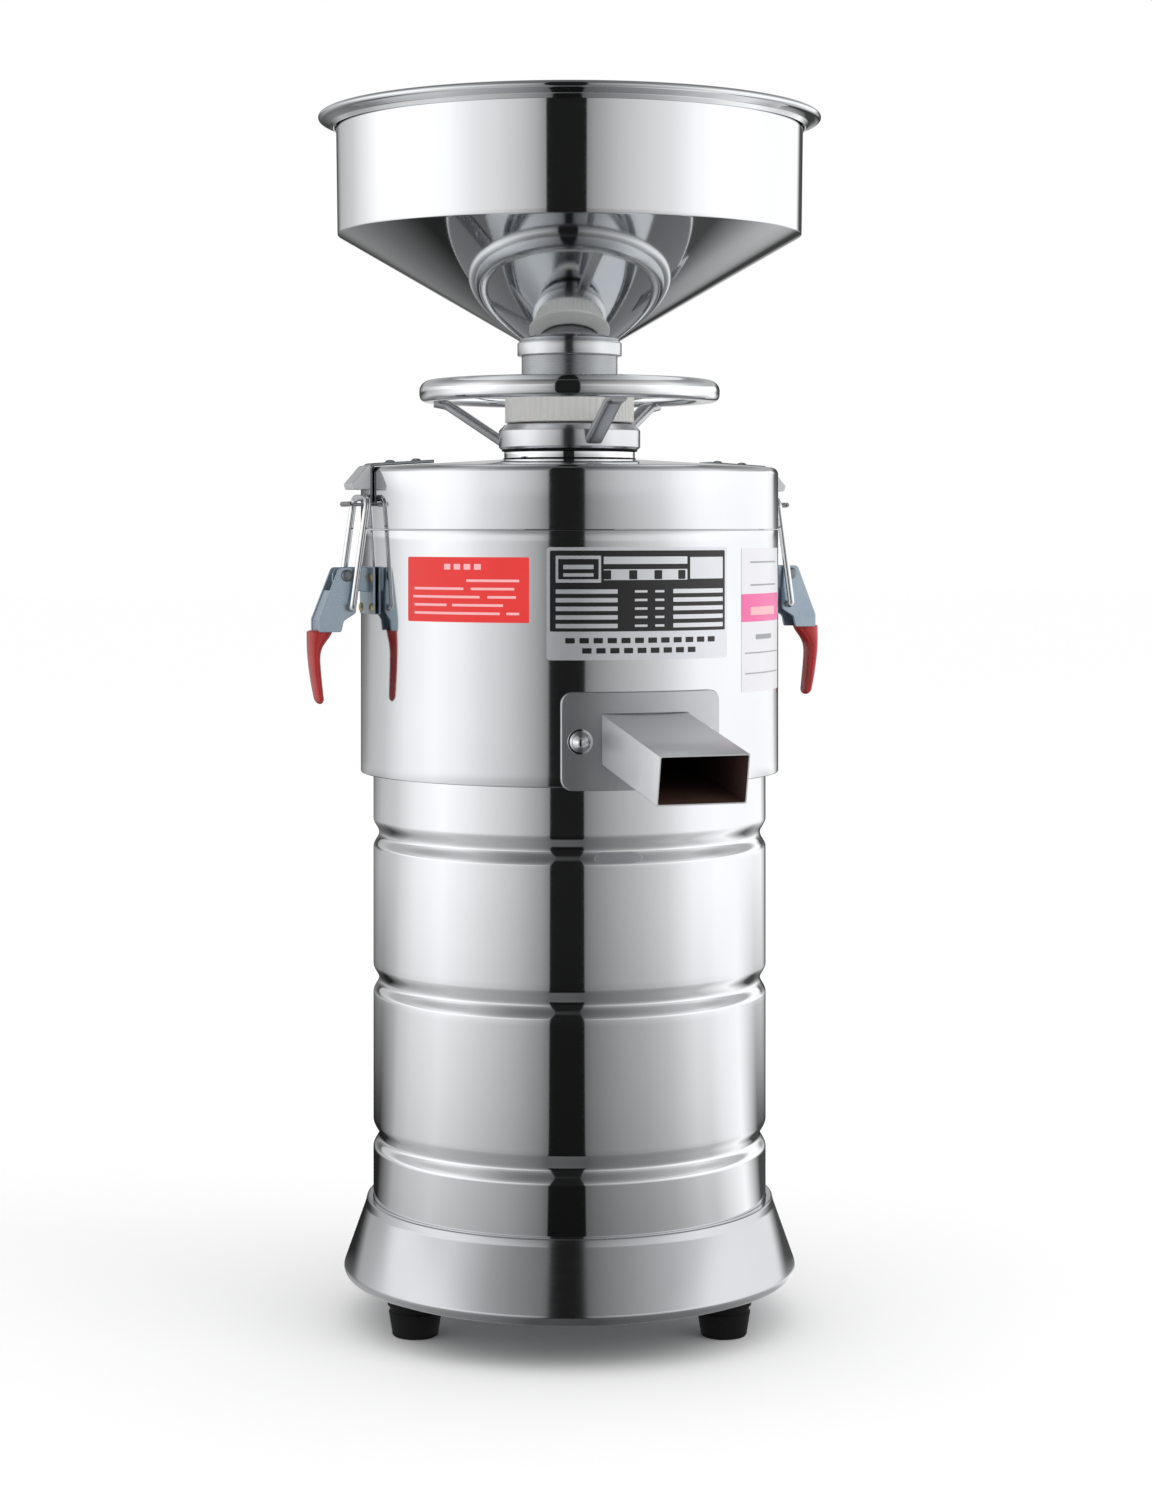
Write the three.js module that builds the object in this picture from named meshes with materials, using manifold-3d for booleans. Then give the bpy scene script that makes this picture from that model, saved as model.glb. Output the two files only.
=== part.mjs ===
// Upright soybean wet grinder with residue separation, in millimetres, +Z up.
// The origin is on the drum's axis at the floor. The milk spout points along -Y, the residue
// chute along +Y and the two lid latches along +X and -X.

import * as THREE from 'three';
import { mergeVertices } from 'three/addons/utils/BufferGeometryUtils.js';
import Module from 'manifold-3d';

const wasm = await Module();
wasm.setup();

// Fits and facets
const seat = 0.3;
const runningGap = 2;
const sheet = 1.5;
const ringSides = 32;
const coreSides = 20;
const pinSides = 10;
const overrun = 5;
const quarterTurn = Math.PI / 2;
const halfTurn = Math.PI;
const fullTurn = Math.PI * 2;
const degree = Math.PI / 180;
const mergeTolerance = 1e-3;
const front = 0;
const right = 90;
const rear = 180;
const left = -90;

// Housing: radii step out from the motor drum, heights stack up from the floor
const drumRadius = 124.5;
const chamberStep = 8;
const skirtLip = 3.8;
const skirtFlare = 21;
const footHeight = 27;
const skirtHeight = 49;
const drumHeight = 268.7;
const chamberHeight = 152.8;
const lidHeight = 38.7;
const lidCrown = 5.5;
const lidEdgeRadius = 3;
const lidEdgeSteps = 2;
const skirtTurnRadius = 9;
const skirtTurnSteps = 2;
const skirtCollarHeight = 5;
const skirtFlangeWidth = 6.5;
const grooveDepth = 3.6;
const grooveUpper = 9.5;
const grooveLower = 9;
const grooveShares = [0.149, 0.514, 0.856];
const drumFlangeWidth = 18;

// Base plate, feet and their bolts
const plateThickness = 4;
const plateInset = 2.5;
const footTopRadius = 18;
const footBottomRadius = 14;
const footCircleInset = 14.5;
const footAzimuths = [-80, 40, 160];
const footRecessRadius = 9;
const footRecessDepth = 12;
const boltRadius = 4;
const boltHeadRadius = 6.5;
const boltHeadHeight = 5;
const boltReach = 9;

// Motor, hung from the chamber floor
const shaftRadius = 10;
const shaftClearance = 0.6;
const bellRadius = 85;
const bellHeight = 44;
const bellPlate = 7;
const bellWall = 5;
const statorHeight = 110;
const rotorCoreRadius = 55;
const airGap = 1.5;
const coreInset = 5;
const bearingRadius = 23;
const bearingHeight = 14;
const bearingWall = 5;
const fanRadius = 56;
const fanHeight = 16;
const fanPlate = 2;
const fanBlades = 6;
const fanHubWall = 5;
const fanDrop = 6;
const capacitorRadius = 17;
const capacitorHeight = 76;
const capacitorInset = 29;
const capacitorAzimuth = 100;

// Grinding chamber
const floorThickness = 7;
const bossRadius = 32;
const bossHeight = 12;
const sealRadius = 24;
const sealHeight = 5;
const carrierHubRadius = 20;
const carrierHubDrop = 7;
const carrierThickness = 6;
const stoneRadius = 50;
const stoneThickness = 24;
const stoneGap = 0.5;
const stoneEyeRadius = 18;
const furrows = 10;
const furrowWidth = 3;
const furrowDepth = 2;
const furrowSkew = 11;
const nutRadius = 13.5;
const nutSides = 6;
const nutHeight = 9;
const basketFootWidth = 11;
const basketRimInset = 12.5;
const rimOverhang = 4;
const basketHoleRadius = 4;
const basketRowShares = [0.22, 0.48, 0.74];
const basketHoleSides = 6;
const holeSides = 8;
const shelfDrop = 41.5;
const shelfThickness = 2;
const shelfLipHeight = 6;
const chamberFlangeWidth = 10;
const gasketWidth = 6;
const gasketHeight = 4;

// Milk spout in front and residue chute behind: outer sizes of the sloped channels
const outletReach = 225;
const outletSheet = 1.5;
const flangeSheet = 2;
const spoutWidth = 55.5;
const spoutHeight = 29.5;
const spoutSlope = 11 * degree;
const spoutRise = 43.3;
const spoutFlangeWidth = 104;
const spoutFlangeHeight = 58.5;
const chuteWidth = 84;
const chuteHeight = 30;
const chuteSlope = 24 * degree;
const chuteLid = 6;
const chuteFlangeWidth = 100;
const chuteFlangeHeight = 40;
const flangeCorner = 7;
const cornerSteps = 3;
const capNutAzimuth = 17.3;
const capNutRadius = 6.5;
const capNutHeight = 6;
const capNutDome = 5;

// Lid fittings, handwheel and the keyed sleeve that it raises
const sleeveRadius = 34;
const sleeveClearance = 1.2;
const headRadius = 41;
const headHeight = 23;
const sleeveDrop = 32;
const shoulderDrop = 5;
const keyWidth = 5;
const keyDepth = 3;
const collarRadius = 41.6;
const collarHeight = 5.7;
const hubWall = 9.8;
const hubHeight = 16.6;
const hubRound = 5;
const wheelRadius = 95.5;
const wheelHalfWidth = 7.75;
const wheelHalfHeight = 7;
const wheelRise = 19.4;
const wheelSides = 8;
const spokeAzimuths = [0, 120, 240];
const spokeWidth = 11;
const spokeThickness = 4;
const feedWall = 3.7;
const holderThickness = 6;

// Hopper
const neckRadius = 30;
const neckShown = 28;
const neckCollarWall = 2.5;
const neckCollarHeight = 10;
const coneHeight = 68;
const bowlHeight = 73.9;
const bowlFootRadius = 145.5;
const bowlTopRadius = 150.5;
const beadHalfWidth = 5.25;
const beadHalfHeight = 2.75;
const beadSteps = 4;

// Over-centre latches: distances out from the chamber wall, heights from the lid seam
const latchRod = 2.5;
const barOut = 5;
const barRise = 19.5;
const pivotOut = 17;
const pivotDrop = 28.5;
const trunnionOut = 15;
const trunnionDrop = 48.5;
const bracketHalfWidth = 15;
const bracketTopDrop = 23;
const bracketBottomDrop = 52.5;
const earInside = 5.6;
const earThickness = 2;
const earRound = 5;
const earSteps = 4;
const cheekThickness = 2;
const pivotRadius = 2.5;
const pivotHead = 4;
const pivotHeadHeight = 1.2;
const rodOffset = 15.5;
const handleTopOut = 20;
const handleTopIn = 12;
const handleTopDrop = 23.5;
const handleLowOut = 40;
const handleLowIn = 23;
const handleLowDrop = 63.5;
const handleHeelOut = 10.5;
const handleHeelDrop = 52.5;
const webShare = 0.45;
const gripHalfWidth = 9;
const gripWaistOut = 39.8;
const gripWaistWidth = 7;
const gripWaistDrop = 78;
const gripTipOut = 36.5;
const gripTipWidth = 6.5;
const gripTipDrop = 109.5;
const keeperHalfWidth = 9;
const keeperSheet = 2;
const keeperReach = 40;
const keeperLipOut = 8;
const keeperLipDrop = 1.7;
const barGap = 0.6;

// Switch housing and cable gland, behind on the motor drum
const fittingShare = 0.33;
const switchAzimuth = 152;
const glandAzimuth = 180;
const switchHalfWidth = 19;
const switchHalfHeight = 15;
const switchDepth = 12;
const switchWall = 6;
const rockerGap = 1.2;
const rockerRise = 3;
const rockerDepth = 6;
const rockerPin = 1.5;
const glandRadius = 11;
const glandNutRadius = 9;
const glandBore = 4.5;
const glandFlange = 4;
const glandLength = 18;

// Heights and radii that follow from the sizes above
const skirtBottom = footHeight + seat;
const skirtTop = footHeight + skirtHeight;
const chamberBottom = skirtTop + drumHeight;
const chamberTop = chamberBottom + chamberHeight;
const lidTop = chamberTop + lidHeight;
const crownTop = lidTop + lidCrown;
const chamberRadius = drumRadius + chamberStep;
const chamberInside = chamberRadius - sheet;
const plateBottom = skirtBottom + sheet + seat;
const plateTop = plateBottom + plateThickness;
const floorTop = chamberBottom + floorThickness;
const bossTop = floorTop + bossHeight;
const sealTop = bossTop + seat + sealHeight;
const carrierBottom = sealTop + runningGap;
const carrierTop = carrierBottom + carrierHubDrop + carrierThickness;
const lowerStoneTop = carrierTop + seat + stoneThickness;
const upperStoneBottom = lowerStoneTop + stoneGap;
const upperStoneTop = upperStoneBottom + stoneThickness;
const nutTop = lowerStoneTop + seat + nutHeight;
const basketRimRadius = chamberInside - basketRimInset;
const shelfLipRadius = basketRimRadius - rimOverhang;
const basketTopRadius = shelfLipRadius - runningGap;
const shelfTop = chamberTop - shelfDrop + shelfThickness;
const basketRimBottom = shelfTop + shelfLipHeight + runningGap;
const bellTop = chamberBottom - seat;
const statorTop = bellTop - bellHeight - seat;
const statorBottom = statorTop - statorHeight;
const lowerBellBottom = statorBottom - seat - bellHeight;
const fanTop = lowerBellBottom - fanDrop;
const shaftBottom = fanTop - fanHeight - runningGap;
const collarBottom = crownTop + seat;
const hubBottom = collarBottom + collarHeight + seat;
const hubTop = hubBottom + hubHeight;
const headBottom = hubTop + seat;
const headTop = headBottom + headHeight;
const shoulderHeight = headBottom - shoulderDrop;
const wheelHeight = hubTop + wheelRise;
const hopperFoot = headTop + neckShown;
const hubRadius = sleeveRadius + sleeveClearance + hubWall;
const lidBore = sleeveRadius + sleeveClearance + sleeveClearance;
const latchFace = chamberRadius + seat;

const polished = { color: 0xd6d8da, roughness: 0.12, metalness: 1 };
const brushed = { color: 0xc4c7ca, roughness: 0.35, metalness: 1 };
const castMetal = { color: 0x9fa3a6, roughness: 0.55, metalness: 0.9 };
const plainSteel = { color: 0x8b8f92, roughness: 0.45, metalness: 1 };
const zincPlate = { color: 0x9fb2bd, roughness: 0.38, metalness: 0.9 };
const blackRubber = { color: 0x141414, roughness: 0.85, metalness: 0 };
const redVinyl = { color: 0xb3201d, roughness: 0.4, metalness: 0 };
const whiteNylon = { color: 0xf0f0ec, roughness: 0.5, metalness: 0 };
const greyStone = { color: 0x77736c, roughness: 0.95, metalness: 0 };
const blackPlastic = { color: 0x1d1e20, roughness: 0.5, metalness: 0 };
const bareAluminium = { color: 0xb4b7b9, roughness: 0.5, metalness: 1 };

const machine = new THREE.Group();

function addPart(name, geometry, finish) {
  const material = new THREE.MeshStandardMaterial({ ...finish, flatShading: true });
  const mesh = new THREE.Mesh(geometry, material);
  mesh.name = name;
  machine.add(mesh);
}

// A solid of revolution about +Z. The outline is a list of [radius, height] that closes on itself
// and runs anticlockwise with the radius to the right.
function turned(outline, sides) {
  const points = [...outline, outline[0]].map(([radius, height]) => new THREE.Vector2(radius, height));
  return new THREE.LatheGeometry(points, sides).rotateX(quarterTurn);
}

// A solid of revolution whose outline starts and ends on the axis
function turnedSolid(outline, sides) {
  const points = outline.map(([radius, height]) => new THREE.Vector2(radius, height));
  return new THREE.LatheGeometry(points, sides).rotateX(quarterTurn);
}

function ring(inner, outer, bottom, top, sides) {
  return turned([[inner, bottom], [outer, bottom], [outer, top], [inner, top]], sides);
}

function disc(radius, bottom, top, sides) {
  return turnedSolid([[0, bottom], [radius, bottom], [radius, top], [0, top]], sides);
}

// Points of an arc in the outline plane, both ends included
function arc(centre, radius, start, end, steps) {
  const points = [];
  for (let step = 0; step <= steps; step += 1) {
    const angle = start + ((end - start) * step) / steps;
    points.push([centre[0] + radius * Math.cos(angle), centre[1] + radius * Math.sin(angle)]);
  }
  return points;
}

// A plate whose outline lies in the plane through +Z and +X, with its width centred on that plane
function radialPlate(outline, width) {
  const shape = new THREE.Shape(outline.map(([out, height]) => new THREE.Vector2(out, height)));
  const geometry = new THREE.ExtrudeGeometry(shape, { depth: width, bevelEnabled: false });
  return geometry.rotateX(quarterTurn).translate(0, width / 2, 0);
}

function block(minimum, maximum) {
  const size = maximum.map((value, axis) => value - minimum[axis]);
  const middle = maximum.map((value, axis) => (value + minimum[axis]) / 2);
  return new THREE.BoxGeometry(...size).translate(...middle);
}

// Turns what was made facing +X to an azimuth in degrees from -Y towards +X
function facing(geometry, azimuth) {
  return geometry.rotateZ(azimuth * degree - quarterTurn);
}

// A rod between two points
function rod(start, end, radius, sides) {
  const from = new THREE.Vector3(...start);
  const to = new THREE.Vector3(...end);
  const direction = to.clone().sub(from);
  const length = direction.length();
  const turn = new THREE.Quaternion().setFromUnitVectors(new THREE.Vector3(0, 1, 0), direction.normalize());
  const middle = from.add(to).multiplyScalar(1 / 2);
  const geometry = new THREE.CylinderGeometry(radius, radius, length, sides);
  return geometry.applyQuaternion(turn).translate(middle.x, middle.y, middle.z);
}

// The corner radius of a ring of flats that clears a round piece of this radius
function boreAround(radius, sides) {
  return (radius + seat) / Math.cos(halfTurn / sides);
}

function solidOf(geometry) {
  const bare = geometry.clone();
  bare.deleteAttribute('normal');
  bare.deleteAttribute('uv');
  const merged = mergeVertices(bare, mergeTolerance);
  const corners = merged.index.array;
  const kept = [];
  for (let first = 0; first < corners.length; first += 3) {
    const [a, b, c] = corners.slice(first, first + 3);
    if (a !== b && b !== c && c !== a) kept.push(a, b, c);
  }
  return new wasm.Manifold(new wasm.Mesh({
    numProp: 3,
    vertProperties: new Float32Array(merged.attributes.position.array),
    triVerts: new Uint32Array(kept),
  }));
}

function geometryOf(solid) {
  const mesh = solid.getMesh();
  const geometry = new THREE.BufferGeometry();
  geometry.setAttribute('position', new THREE.BufferAttribute(new Float32Array(mesh.vertProperties), 3));
  geometry.setIndex(new THREE.BufferAttribute(new Uint32Array(mesh.triVerts), 1));
  return geometry;
}

function cut(base, ...tools) {
  return geometryOf(tools.reduce((solid, tool) => solid.subtract(solidOf(tool)), solidOf(base)));
}

function join(base, ...more) {
  return geometryOf(more.reduce((solid, piece) => solid.add(solidOf(piece)), solidOf(base)));
}

function common(base, other) {
  return geometryOf(solidOf(base).intersect(solidOf(other)));
}

// Base: the flared skirt turns under at the floor edge and carries the plate that the feet bolt to
function skirtOutline() {
  const lipRadius = drumRadius + skirtLip;
  const footRadius = drumRadius + skirtFlare;
  const flangeEdge = footRadius - skirtTurnRadius - skirtFlangeWidth;
  const centre = [footRadius - skirtTurnRadius, skirtBottom + skirtTurnRadius];
  const outside = arc(centre, skirtTurnRadius, -quarterTurn, 0, skirtTurnSteps);
  const inside = arc(centre, skirtTurnRadius - sheet, 0, -quarterTurn, skirtTurnSteps);
  return [
    [flangeEdge, skirtBottom],
    ...outside,
    [lipRadius, skirtTop - skirtCollarHeight],
    [lipRadius, skirtTop],
    [drumRadius + seat, skirtTop],
    [drumRadius + seat, skirtTop - sheet],
    [lipRadius - sheet, skirtTop - sheet],
    [lipRadius - sheet, skirtTop - skirtCollarHeight],
    ...inside,
    [flangeEdge, skirtBottom + sheet],
  ];
}

function footPlace(azimuth) {
  const angle = azimuth * degree - quarterTurn;
  const circle = drumRadius - footCircleInset;
  return [circle * Math.cos(angle), circle * Math.sin(angle)];
}

function addBase() {
  addPart('base_skirt', turned(skirtOutline(), ringSides), polished);
  const plateRadius = drumRadius + skirtFlare - skirtTurnRadius - plateInset;
  const boltHole = boltRadius + seat;
  const holes = footAzimuths.map((azimuth) => {
    const [x, y] = footPlace(azimuth);
    return disc(boltHole, plateBottom - overrun, plateTop + overrun, pinSides).translate(x, y, 0);
  });
  addPart('base_plate', cut(disc(plateRadius, plateBottom, plateTop, ringSides), ...holes), plainSteel);
  const footTop = plateBottom - seat;
  const foot = [
    [footRecessRadius, 0],
    [footBottomRadius, 0],
    [footTopRadius, footTop],
    [boltHole, footTop],
    [boltHole, footRecessDepth],
    [footRecessRadius, footRecessDepth],
  ];
  const boltShoulder = footRecessDepth - seat;
  const bolt = [
    [0, boltShoulder - boltHeadHeight],
    [boltHeadRadius, boltShoulder - boltHeadHeight],
    [boltHeadRadius, boltShoulder],
    [boltRadius, boltShoulder],
    [boltRadius, plateTop + boltReach],
    [0, plateTop + boltReach],
  ];
  footAzimuths.forEach((azimuth, index) => {
    const [x, y] = footPlace(azimuth);
    addPart(`rubber_foot_${index + 1}`, turned(foot, pinSides).translate(x, y, 0), blackRubber);
    addPart(`foot_bolt_${index + 1}`, turnedSolid(bolt, pinSides).translate(x, y, 0), plainSteel);
  });
}

// Motor drum: one rolled sheet with three grooves pressed in and a flange that carries the chamber
function addDrum() {
  const bottom = plateTop + seat;
  const top = chamberBottom - seat;
  const wall = (radius) => grooveShares.flatMap((share) => {
    const middle = skirtTop + drumHeight * share;
    return [[radius, middle - grooveLower], [radius - grooveDepth, middle], [radius, middle + grooveUpper]];
  });
  const inner = drumRadius - sheet;
  const outline = [
    [inner, bottom],
    [drumRadius, bottom],
    ...wall(drumRadius),
    [drumRadius, top],
    [drumRadius - drumFlangeWidth, top],
    [drumRadius - drumFlangeWidth, top - sheet],
    [inner, top - sheet],
    ...wall(inner).reverse(),
  ];
  const height = skirtTop + drumHeight * fittingShare;
  const holeEnds = [drumRadius - overrun, drumRadius + overrun].map((out) => [out, 0, height]);
  const hole = rod(...holeEnds, glandBore, pinSides);
  addPart('motor_drum', cut(turned(outline, ringSides), facing(hole, glandAzimuth)), polished);
}

// Motor: the end bells are open cups that hold a bearing each; height 0 is the face on the outside
function bellOutline() {
  const seatBottom = bearingHeight + bellPlate;
  const bore = shaftRadius + shaftClearance + airGap;
  return [
    [bearingRadius, 0],
    [bellRadius, 0],
    [bellRadius, bellHeight],
    [bellRadius - bellWall, bellHeight],
    [bellRadius - bellWall, bellPlate],
    [bearingRadius + bearingWall, bellPlate],
    [bearingRadius + bearingWall, seatBottom],
    [bore, seatBottom],
    [bore, bearingHeight],
    [bearingRadius, bearingHeight],
  ];
}

function addMotor() {
  const bell = bellOutline();
  const lowered = bell.map(([radius, height]) => [radius, lowerBellBottom + height]);
  const raised = bell.map(([radius, height]) => [radius, bellTop - height]).reverse();
  addPart('motor_bell_lower', turned(lowered, coreSides), castMetal);
  addPart('motor_bell_upper', turned(raised, coreSides), castMetal);
  const statorBore = rotorCoreRadius + airGap;
  addPart('stator_core', ring(statorBore, bellRadius, statorBottom, statorTop, coreSides), plainSteel);
  const race = [shaftRadius + shaftClearance, bearingRadius - seat];
  const lowBearing = lowerBellBottom + bearingHeight - seat;
  const highBearing = bellTop - bearingHeight + seat;
  addPart('bearing_lower', ring(...race, lowerBellBottom + seat, lowBearing, coreSides), plainSteel);
  addPart('bearing_upper', ring(...race, highBearing, bellTop - seat, coreSides), plainSteel);
  const canBottom = plateTop + seat;
  const can = disc(capacitorRadius, canBottom, canBottom + capacitorHeight, coreSides);
  can.translate(drumRadius - capacitorInset, 0, 0);
  addPart('run_capacitor', facing(can, capacitorAzimuth), bareAluminium);
}

// Grinding chamber: floor with the seal boss, shell with two openings, the rim that the lid sits on,
// and the residue shelf
function addChamber() {
  const bore = shaftRadius + shaftClearance;
  const floor = [
    [bore, chamberBottom],
    [chamberInside - seat, chamberBottom],
    [chamberInside - seat, floorTop],
    [bossRadius, floorTop],
    [bossRadius, bossTop],
    [bore, bossTop],
  ];
  addPart('chamber_floor', turned(floor, ringSides), castMetal);
  addPart('shaft_seal', ring(bore, sealRadius, bossTop + seat, sealTop, coreSides), blackRubber);

  const shellTop = chamberTop - seat;
  const shell = ring(chamberInside, chamberRadius, chamberBottom, shellTop, ringSides);
  const spoutHole = channel(spout, -outletSheet, 0);
  const chuteHole = channel(chute, -outletSheet, 0);
  addPart('chamber_shell', cut(shell, facing(spoutHole, front), facing(chuteHole, rear)), brushed);
  const rimEdges = [chamberInside - chamberFlangeWidth, chamberInside - seat];
  addPart('chamber_rim', ring(...rimEdges, shellTop - sheet, shellTop, ringSides), brushed);

  const shelfBottom = shelfTop - shelfThickness;
  const shelf = [
    [shelfLipRadius, shelfBottom],
    [chamberInside - seat, shelfBottom],
    [chamberInside - seat, shelfTop],
    [shelfLipRadius + sheet, shelfTop],
    [shelfLipRadius + sheet, shelfTop + shelfLipHeight],
    [shelfLipRadius, shelfTop + shelfLipHeight],
  ];
  addPart('residue_shelf', turned(shelf, ringSides), brushed);
}

// Outlets: a sloped rectangular channel through a curved flange. The tip's upper edge is at
// outletReach, and rootTop is the height of the channel's top face where it meets the chamber wall.
const spout = {
  width: spoutWidth,
  height: spoutHeight,
  slope: spoutSlope,
  rootTop: chamberBottom + spoutRise,
  flangeWidth: spoutFlangeWidth,
  flangeHeight: spoutFlangeHeight,
};
const chute = {
  width: chuteWidth,
  height: chuteHeight,
  slope: chuteSlope,
  rootTop: chamberTop - sheet - chuteLid,
  flangeWidth: chuteFlangeWidth,
  flangeHeight: chuteFlangeHeight,
};

// The channel's solid facing +X, grown on its four sides and lengthened past its tip. It starts
// a little inside the chamber wall.
function channel(outlet, growth, past) {
  const run = outletReach - chamberRadius;
  const length = (run + runningGap * 2) / Math.cos(outlet.slope);
  const geometry = block(
    [-length, -outlet.width / 2 - growth, -outlet.height - growth],
    [past, outlet.width / 2 + growth, growth],
  );
  const drop = run * Math.tan(outlet.slope);
  return geometry.rotateY(outlet.slope).translate(outletReach, 0, outlet.rootTop - drop);
}

function outletGeometry(outlet, flangeMiddle) {
  const face = chamberRadius + seat;
  const bottom = flangeMiddle - outlet.flangeHeight / 2;
  const top = flangeMiddle + outlet.flangeHeight / 2;
  const wall = ring(face, face + flangeSheet, bottom, top, ringSides);
  const outline = new THREE.Shape();
  const across = outlet.flangeWidth / 2 - flangeCorner;
  const upright = outlet.flangeHeight / 2 - flangeCorner;
  const corners = [[across, upright], [-across, upright], [-across, -upright], [across, -upright]];
  corners.forEach((corner, turn) => {
    outline.absarc(...corner, flangeCorner, turn * quarterTurn, (turn + 1) * quarterTurn);
  });
  const style = { depth: outletReach, bevelEnabled: false, curveSegments: cornerSteps };
  const frame = new THREE.ExtrudeGeometry(outline, style);
  frame.rotateX(quarterTurn).rotateZ(quarterTurn).translate(0, 0, flangeMiddle);
  const flange = common(wall, frame);
  const barrel = disc(face, bottom - outletReach, top + outletReach, ringSides);
  const tube = cut(channel(outlet, 0, 0), barrel);
  return cut(join(flange, tube), channel(outlet, -outletSheet, overrun));
}

function addOutlets() {
  const spoutMiddle = chamberBottom + (spoutFlangeHeight / 2 - flangeSheet);
  addPart('milk_spout', facing(outletGeometry(spout, spoutMiddle), front), brushed);
  const chuteMiddle = chute.rootTop - chuteHeight / 2;
  addPart('residue_chute', facing(outletGeometry(chute, chuteMiddle), rear), brushed);
  const nut = [
    [0, 0],
    [capNutRadius, 0],
    [capNutRadius, capNutHeight],
    [capNutDome, capNutHeight],
    [capNutDome, capNutHeight + capNutDome / 2],
    [0, capNutHeight + capNutDome],
  ];
  const face = chamberRadius + seat + flangeSheet + seat;
  [-capNutAzimuth, capNutAzimuth].forEach((azimuth, index) => {
    const geometry = turnedSolid(nut, coreSides / 2).rotateY(quarterTurn).translate(face, 0, spoutMiddle);
    addPart(`spout_cap_nut_${index + 1}`, facing(geometry, azimuth), polished);
  });
}

// Rotor: shaft, motor core, fan, carrier, perforated basket, lower stone and its nut
function stoneGeometry(bore, bottom, top, furrowFace) {
  const length = stoneRadius;
  const tools = [];
  for (let index = 0; index < furrows; index += 1) {
    const tool = new THREE.BoxGeometry(length, furrowWidth, furrowDepth * 2);
    tool.translate(bore + runningGap + length / 2, furrowSkew, furrowFace);
    tools.push(tool.rotateZ((index * fullTurn) / furrows));
  }
  return cut(ring(bore, stoneRadius, bottom, top, coreSides), ...tools);
}

function basketGeometry() {
  const bottom = carrierTop + seat;
  const footInner = stoneRadius + runningGap;
  const footOuter = footInner + basketFootWidth;
  const outline = [
    [footInner, bottom],
    [footOuter, bottom],
    [basketTopRadius, basketRimBottom],
    [basketRimRadius, basketRimBottom],
    [basketRimRadius, basketRimBottom + sheet],
    [basketTopRadius - sheet, basketRimBottom + sheet],
    [footOuter - sheet, bottom + sheet],
    [footInner, bottom + sheet],
  ];
  const drills = [];
  const facetTurn = fullTurn / coreSides;
  basketRowShares.forEach((share, row) => {
    const height = bottom + (basketRimBottom - bottom) * share;
    for (let facet = row % 2; facet < coreSides; facet += 2) {
      const ends = [footInner, chamberInside].map((out) => [out, 0, height]);
      const drill = rod(...ends, basketHoleRadius, basketHoleSides);
      drills.push(drill.rotateZ((facet + 1 / 2) * facetTurn));
    }
  });
  return cut(turned(outline, coreSides), ...drills);
}

function addRotor() {
  const bore = shaftRadius + seat;
  addPart('motor_shaft', disc(shaftRadius, shaftBottom, nutTop + runningGap, coreSides), plainSteel);
  const core = ring(bore, rotorCoreRadius, statorBottom + coreInset, statorTop - coreInset, coreSides);
  addPart('rotor_core', core, plainSteel);

  const fanBottom = fanTop - fanHeight;
  const hub = ring(bore, bore + fanHubWall, fanBottom, fanTop, coreSides);
  const web = ring(bore, fanRadius, fanTop - fanPlate, fanTop, coreSides);
  const blades = [];
  for (let index = 0; index < fanBlades; index += 1) {
    const half = fanPlate / 2;
    const blade = block(
      [bore + fanHubWall / 2, -half, fanBottom],
      [fanRadius - fanHubWall, half, fanTop - half],
    );
    blades.push(blade.rotateZ((index * fullTurn) / fanBlades));
  }
  addPart('cooling_fan', join(hub, web, ...blades), blackPlastic);

  const plateEdge = stoneRadius + runningGap + basketFootWidth;
  const plateUnderside = carrierTop - carrierThickness;
  const carrier = [
    [bore, carrierBottom],
    [carrierHubRadius, carrierBottom],
    [carrierHubRadius, plateUnderside],
    [plateEdge, plateUnderside],
    [plateEdge, carrierTop],
    [bore, carrierTop],
  ];
  addPart('basket_carrier', turned(carrier, coreSides), castMetal);
  addPart('sieve_basket', basketGeometry(), brushed);
  const stone = stoneGeometry(bore, carrierTop + seat, lowerStoneTop, lowerStoneTop);
  addPart('lower_stone', stone, greyStone);
  const nut = disc(nutRadius, lowerStoneTop + seat, nutTop, nutSides);
  const thread = disc(bore, lowerStoneTop - overrun, nutTop + overrun, coreSides);
  addPart('stone_nut', cut(nut, thread), plainSteel);
}

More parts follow.
